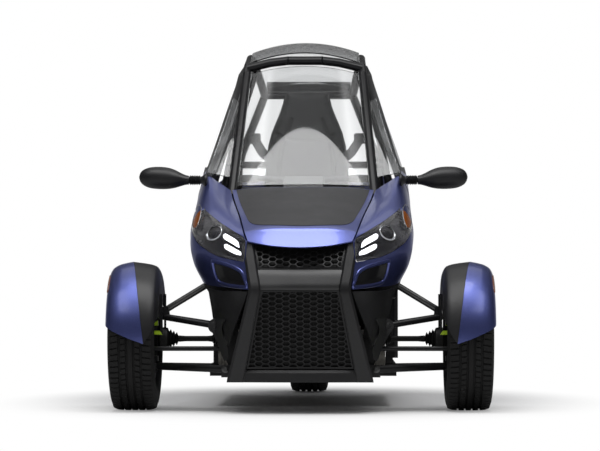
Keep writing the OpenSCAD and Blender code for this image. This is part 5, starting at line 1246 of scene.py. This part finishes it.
# shoulder belts: from a reel on the hoop over the seat's shoulder and down the back's face, in metres
WEB_HALF_W, WEB_HALF_T, BELT_STEPS, TURN_STEPS, BELT_LIFT = 0.0225, 0.0011, 60, 25, 0.006
REEL_X, REEL_Y, REEL_Z = 0.243, 0.398, 1.19
belt_top = [(0.238, 0.392, 1.178), (0.222, 0.345, 1.15), (0.202, 0.272, 1.118)]
belt_face = [(0.168, 1.085), (0.158, 1.04), (0.146, 0.98), (0.135, 0.9), (0.126, 0.82), (0.118, 0.75)]
webbing = [(-WEB_HALF_W, -WEB_HALF_T), (WEB_HALF_W, -WEB_HALF_T), (WEB_HALF_W, WEB_HALF_T),
           (-WEB_HALF_W, WEB_HALF_T)]
lean_top, lean_face = np.array([0, -0.55, 0.83]), np.array([0, -0.99, 0.1])
lean = np.array([mix(lean_top, lean_face, min(1.0, k / TURN_STEPS)) for k in range(BELT_STEPS + 1)])
belts, fittings = [], []
for sign in (1, -1):
    face = [on_face(back_tree, sign * x, z, "y") - np.array([0, BELT_LIFT, 0]) for x, z in belt_face]
    route = np.array([(sign * x, y, z) for x, y, z in belt_top] + face)
    line = np.array([curve(route, k / BELT_STEPS) for k in range(BELT_STEPS + 1)])
    belts.append(sweep(line, webbing, False, lean))
    fittings.append(chamfer_box((sign * REEL_X, REEL_Y, REEL_Z), (0.027, 0.02, 0.024), 0.006))
    fittings.append(chamfer_box(line[-1] + np.array([0, -0.004, -0.03]), (0.03, 0.011, 0.042), 0.005))
build("shoulder_belts", belts, WEB, angle=25.0, mm=False)
build("belt_fittings", fittings, BLACK, angle=25.0, mm=False)

SCREEN_AT, SCREEN_LEAN, CASE_HALF_T = np.array([0, -578.0, 936.0]), math.radians(28), 9
s, c = math.sin(SCREEN_LEAN), math.cos(SCREEN_LEAN)
lean_axes = ((1, 0, 0), (0, s, c), (0, c, -s))
case_geo = chamfer_box(SCREEN_AT, (88, 34, CASE_HALF_T), 5.0, lean_axes)
build("display_case", [case_geo], BLACK, angle=25.0)
glass_at = SCREEN_AT + CASE_HALF_T * np.array(lean_axes[2])
build("display_glass", [chamfer_box(glass_at, (80, 28, 1.2), 0.8, lean_axes)], LAMP, angle=25.0)

# stage: pale floor that fades to white
FLOOR_HALF = 60.0
floor_mesh = bpy.data.meshes.new("floor")
corners = [(-FLOOR_HALF, -FLOOR_HALF, 0), (FLOOR_HALF, -FLOOR_HALF, 0), (FLOOR_HALF, FLOOR_HALF, 0),
           (-FLOOR_HALF, FLOOR_HALF, 0)]
floor_mesh.from_pydata(corners, [], [(0, 1, 2, 3)])
floor = bpy.data.objects.new("floor", floor_mesh)
bpy.context.collection.objects.link(floor)
floor_mat, nt, p = new_mat("floor")
fill(p, Base_Color=(0.9, 0.9, 0.9, 1.0), Roughness=0.7, Specular_IOR_Level=0.2)
white = node(nt, "Emission", Strength=1.0)
place = node(nt, "Mapping", Vector=node(nt, "TexCoord").outputs["Object"], Location=(0.0, 0.06, 0.0),
             Scale=(0.95, 0.62, 1.0))
away = node(nt, "VectorMath", place.outputs["Vector"], operation="LENGTH").outputs["Value"]
fade = node(nt, "MapRange", Value=away, From_Min=0.62, From_Max=1.35, To_Min=0.0)
fade.interpolation_type = "SMOOTHSTEP"
rays = node(nt, "LightPath").outputs
seen = math_of(nt, "MAXIMUM", rays["Is Camera Ray"], rays["Is Transmission Ray"])
mix_to_output(nt, math_of(nt, "MULTIPLY", seen, fade.outputs["Result"]), p.outputs["BSDF"],
              white.outputs["Emission"])
floor_mesh.materials.append(floor_mat)

# white surround; what gloss shows of it is dim overhead, pale low down behind, and a bright box to each side
SIDE_BOX, AMBIENT = 2.8, 0.26
world = bpy.data.worlds.new("world")
bpy.context.scene.world = world
world.use_nodes = True
nt = world.node_tree
rays = node(nt, "LightPath").outputs
way = node(nt, "SeparateXYZ", Vector=node(nt, "TexCoord").outputs["Generated"]).outputs
x_squared = math_of(nt, "MULTIPLY", way["X"], way["X"])
overhead = range_of(nt, way["Z"], 0.05, 0.12, 0.10, 0.75)
backdrop = math_of(nt, "MULTIPLY", range_of(nt, way["Y"], 0.0, 1.0, 0.4, 0.8),
                   range_of(nt, way["Z"], 0.45, 0.0, 0.1, 0.35))
boxes = range_of(nt, way["Z"], 0.0, SIDE_BOX, 0.58, 0.64)
for limit in (range_of(nt, way["Y"], 1.0, 0.0, -0.16, -0.1),
              range_of(nt, x_squared, 0.0, 1.0, 0.09, 0.13),
              range_of(nt, x_squared, 1.0, 0.0, 0.27, 0.33)):
    boxes = math_of(nt, "MULTIPLY", boxes, limit)
gloss = math_of(nt, "MAXIMUM", math_of(nt, "MAXIMUM", overhead, backdrop), boxes)
gloss = math_of(nt, "MULTIPLY", rays["Is Glossy Ray"], gloss)
seen = math_of(nt, "MAXIMUM", rays["Is Camera Ray"], rays["Is Transmission Ray"])
plain = math_of(nt, "MULTIPLY", rays["Is Diffuse Ray"], AMBIENT)
strength = math_of(nt, "MAXIMUM", math_of(nt, "MAXIMUM", seen, gloss), plain)
fill(nt.nodes["Background"], Color=(1.0, 1.0, 1.0, 1.0), Strength=strength)


# soft lamps
def area(name, loc, size_x, size_y, power):
    """A rectangular lamp that shines straight down."""
    d = bpy.data.lights.new(name, "AREA")
    d.energy = power
    d.shape = "RECTANGLE"
    d.size = size_x
    d.size_y = size_y
    o = bpy.data.objects.new(name, d)
    bpy.context.collection.objects.link(o)
    o.location = loc
    o.rotation_euler = Vector((0, 0, -loc[2])).to_track_quat("-Z", "Y").to_euler()


area("front_soft", (0.0, -1.8, 3.0), 2.7, 1.6, 77)
area("top_soft", (0.0, 1.65, 5.2), 5.0, 5.0, 54)

bpy.context.scene.view_settings.view_transform = "Standard"
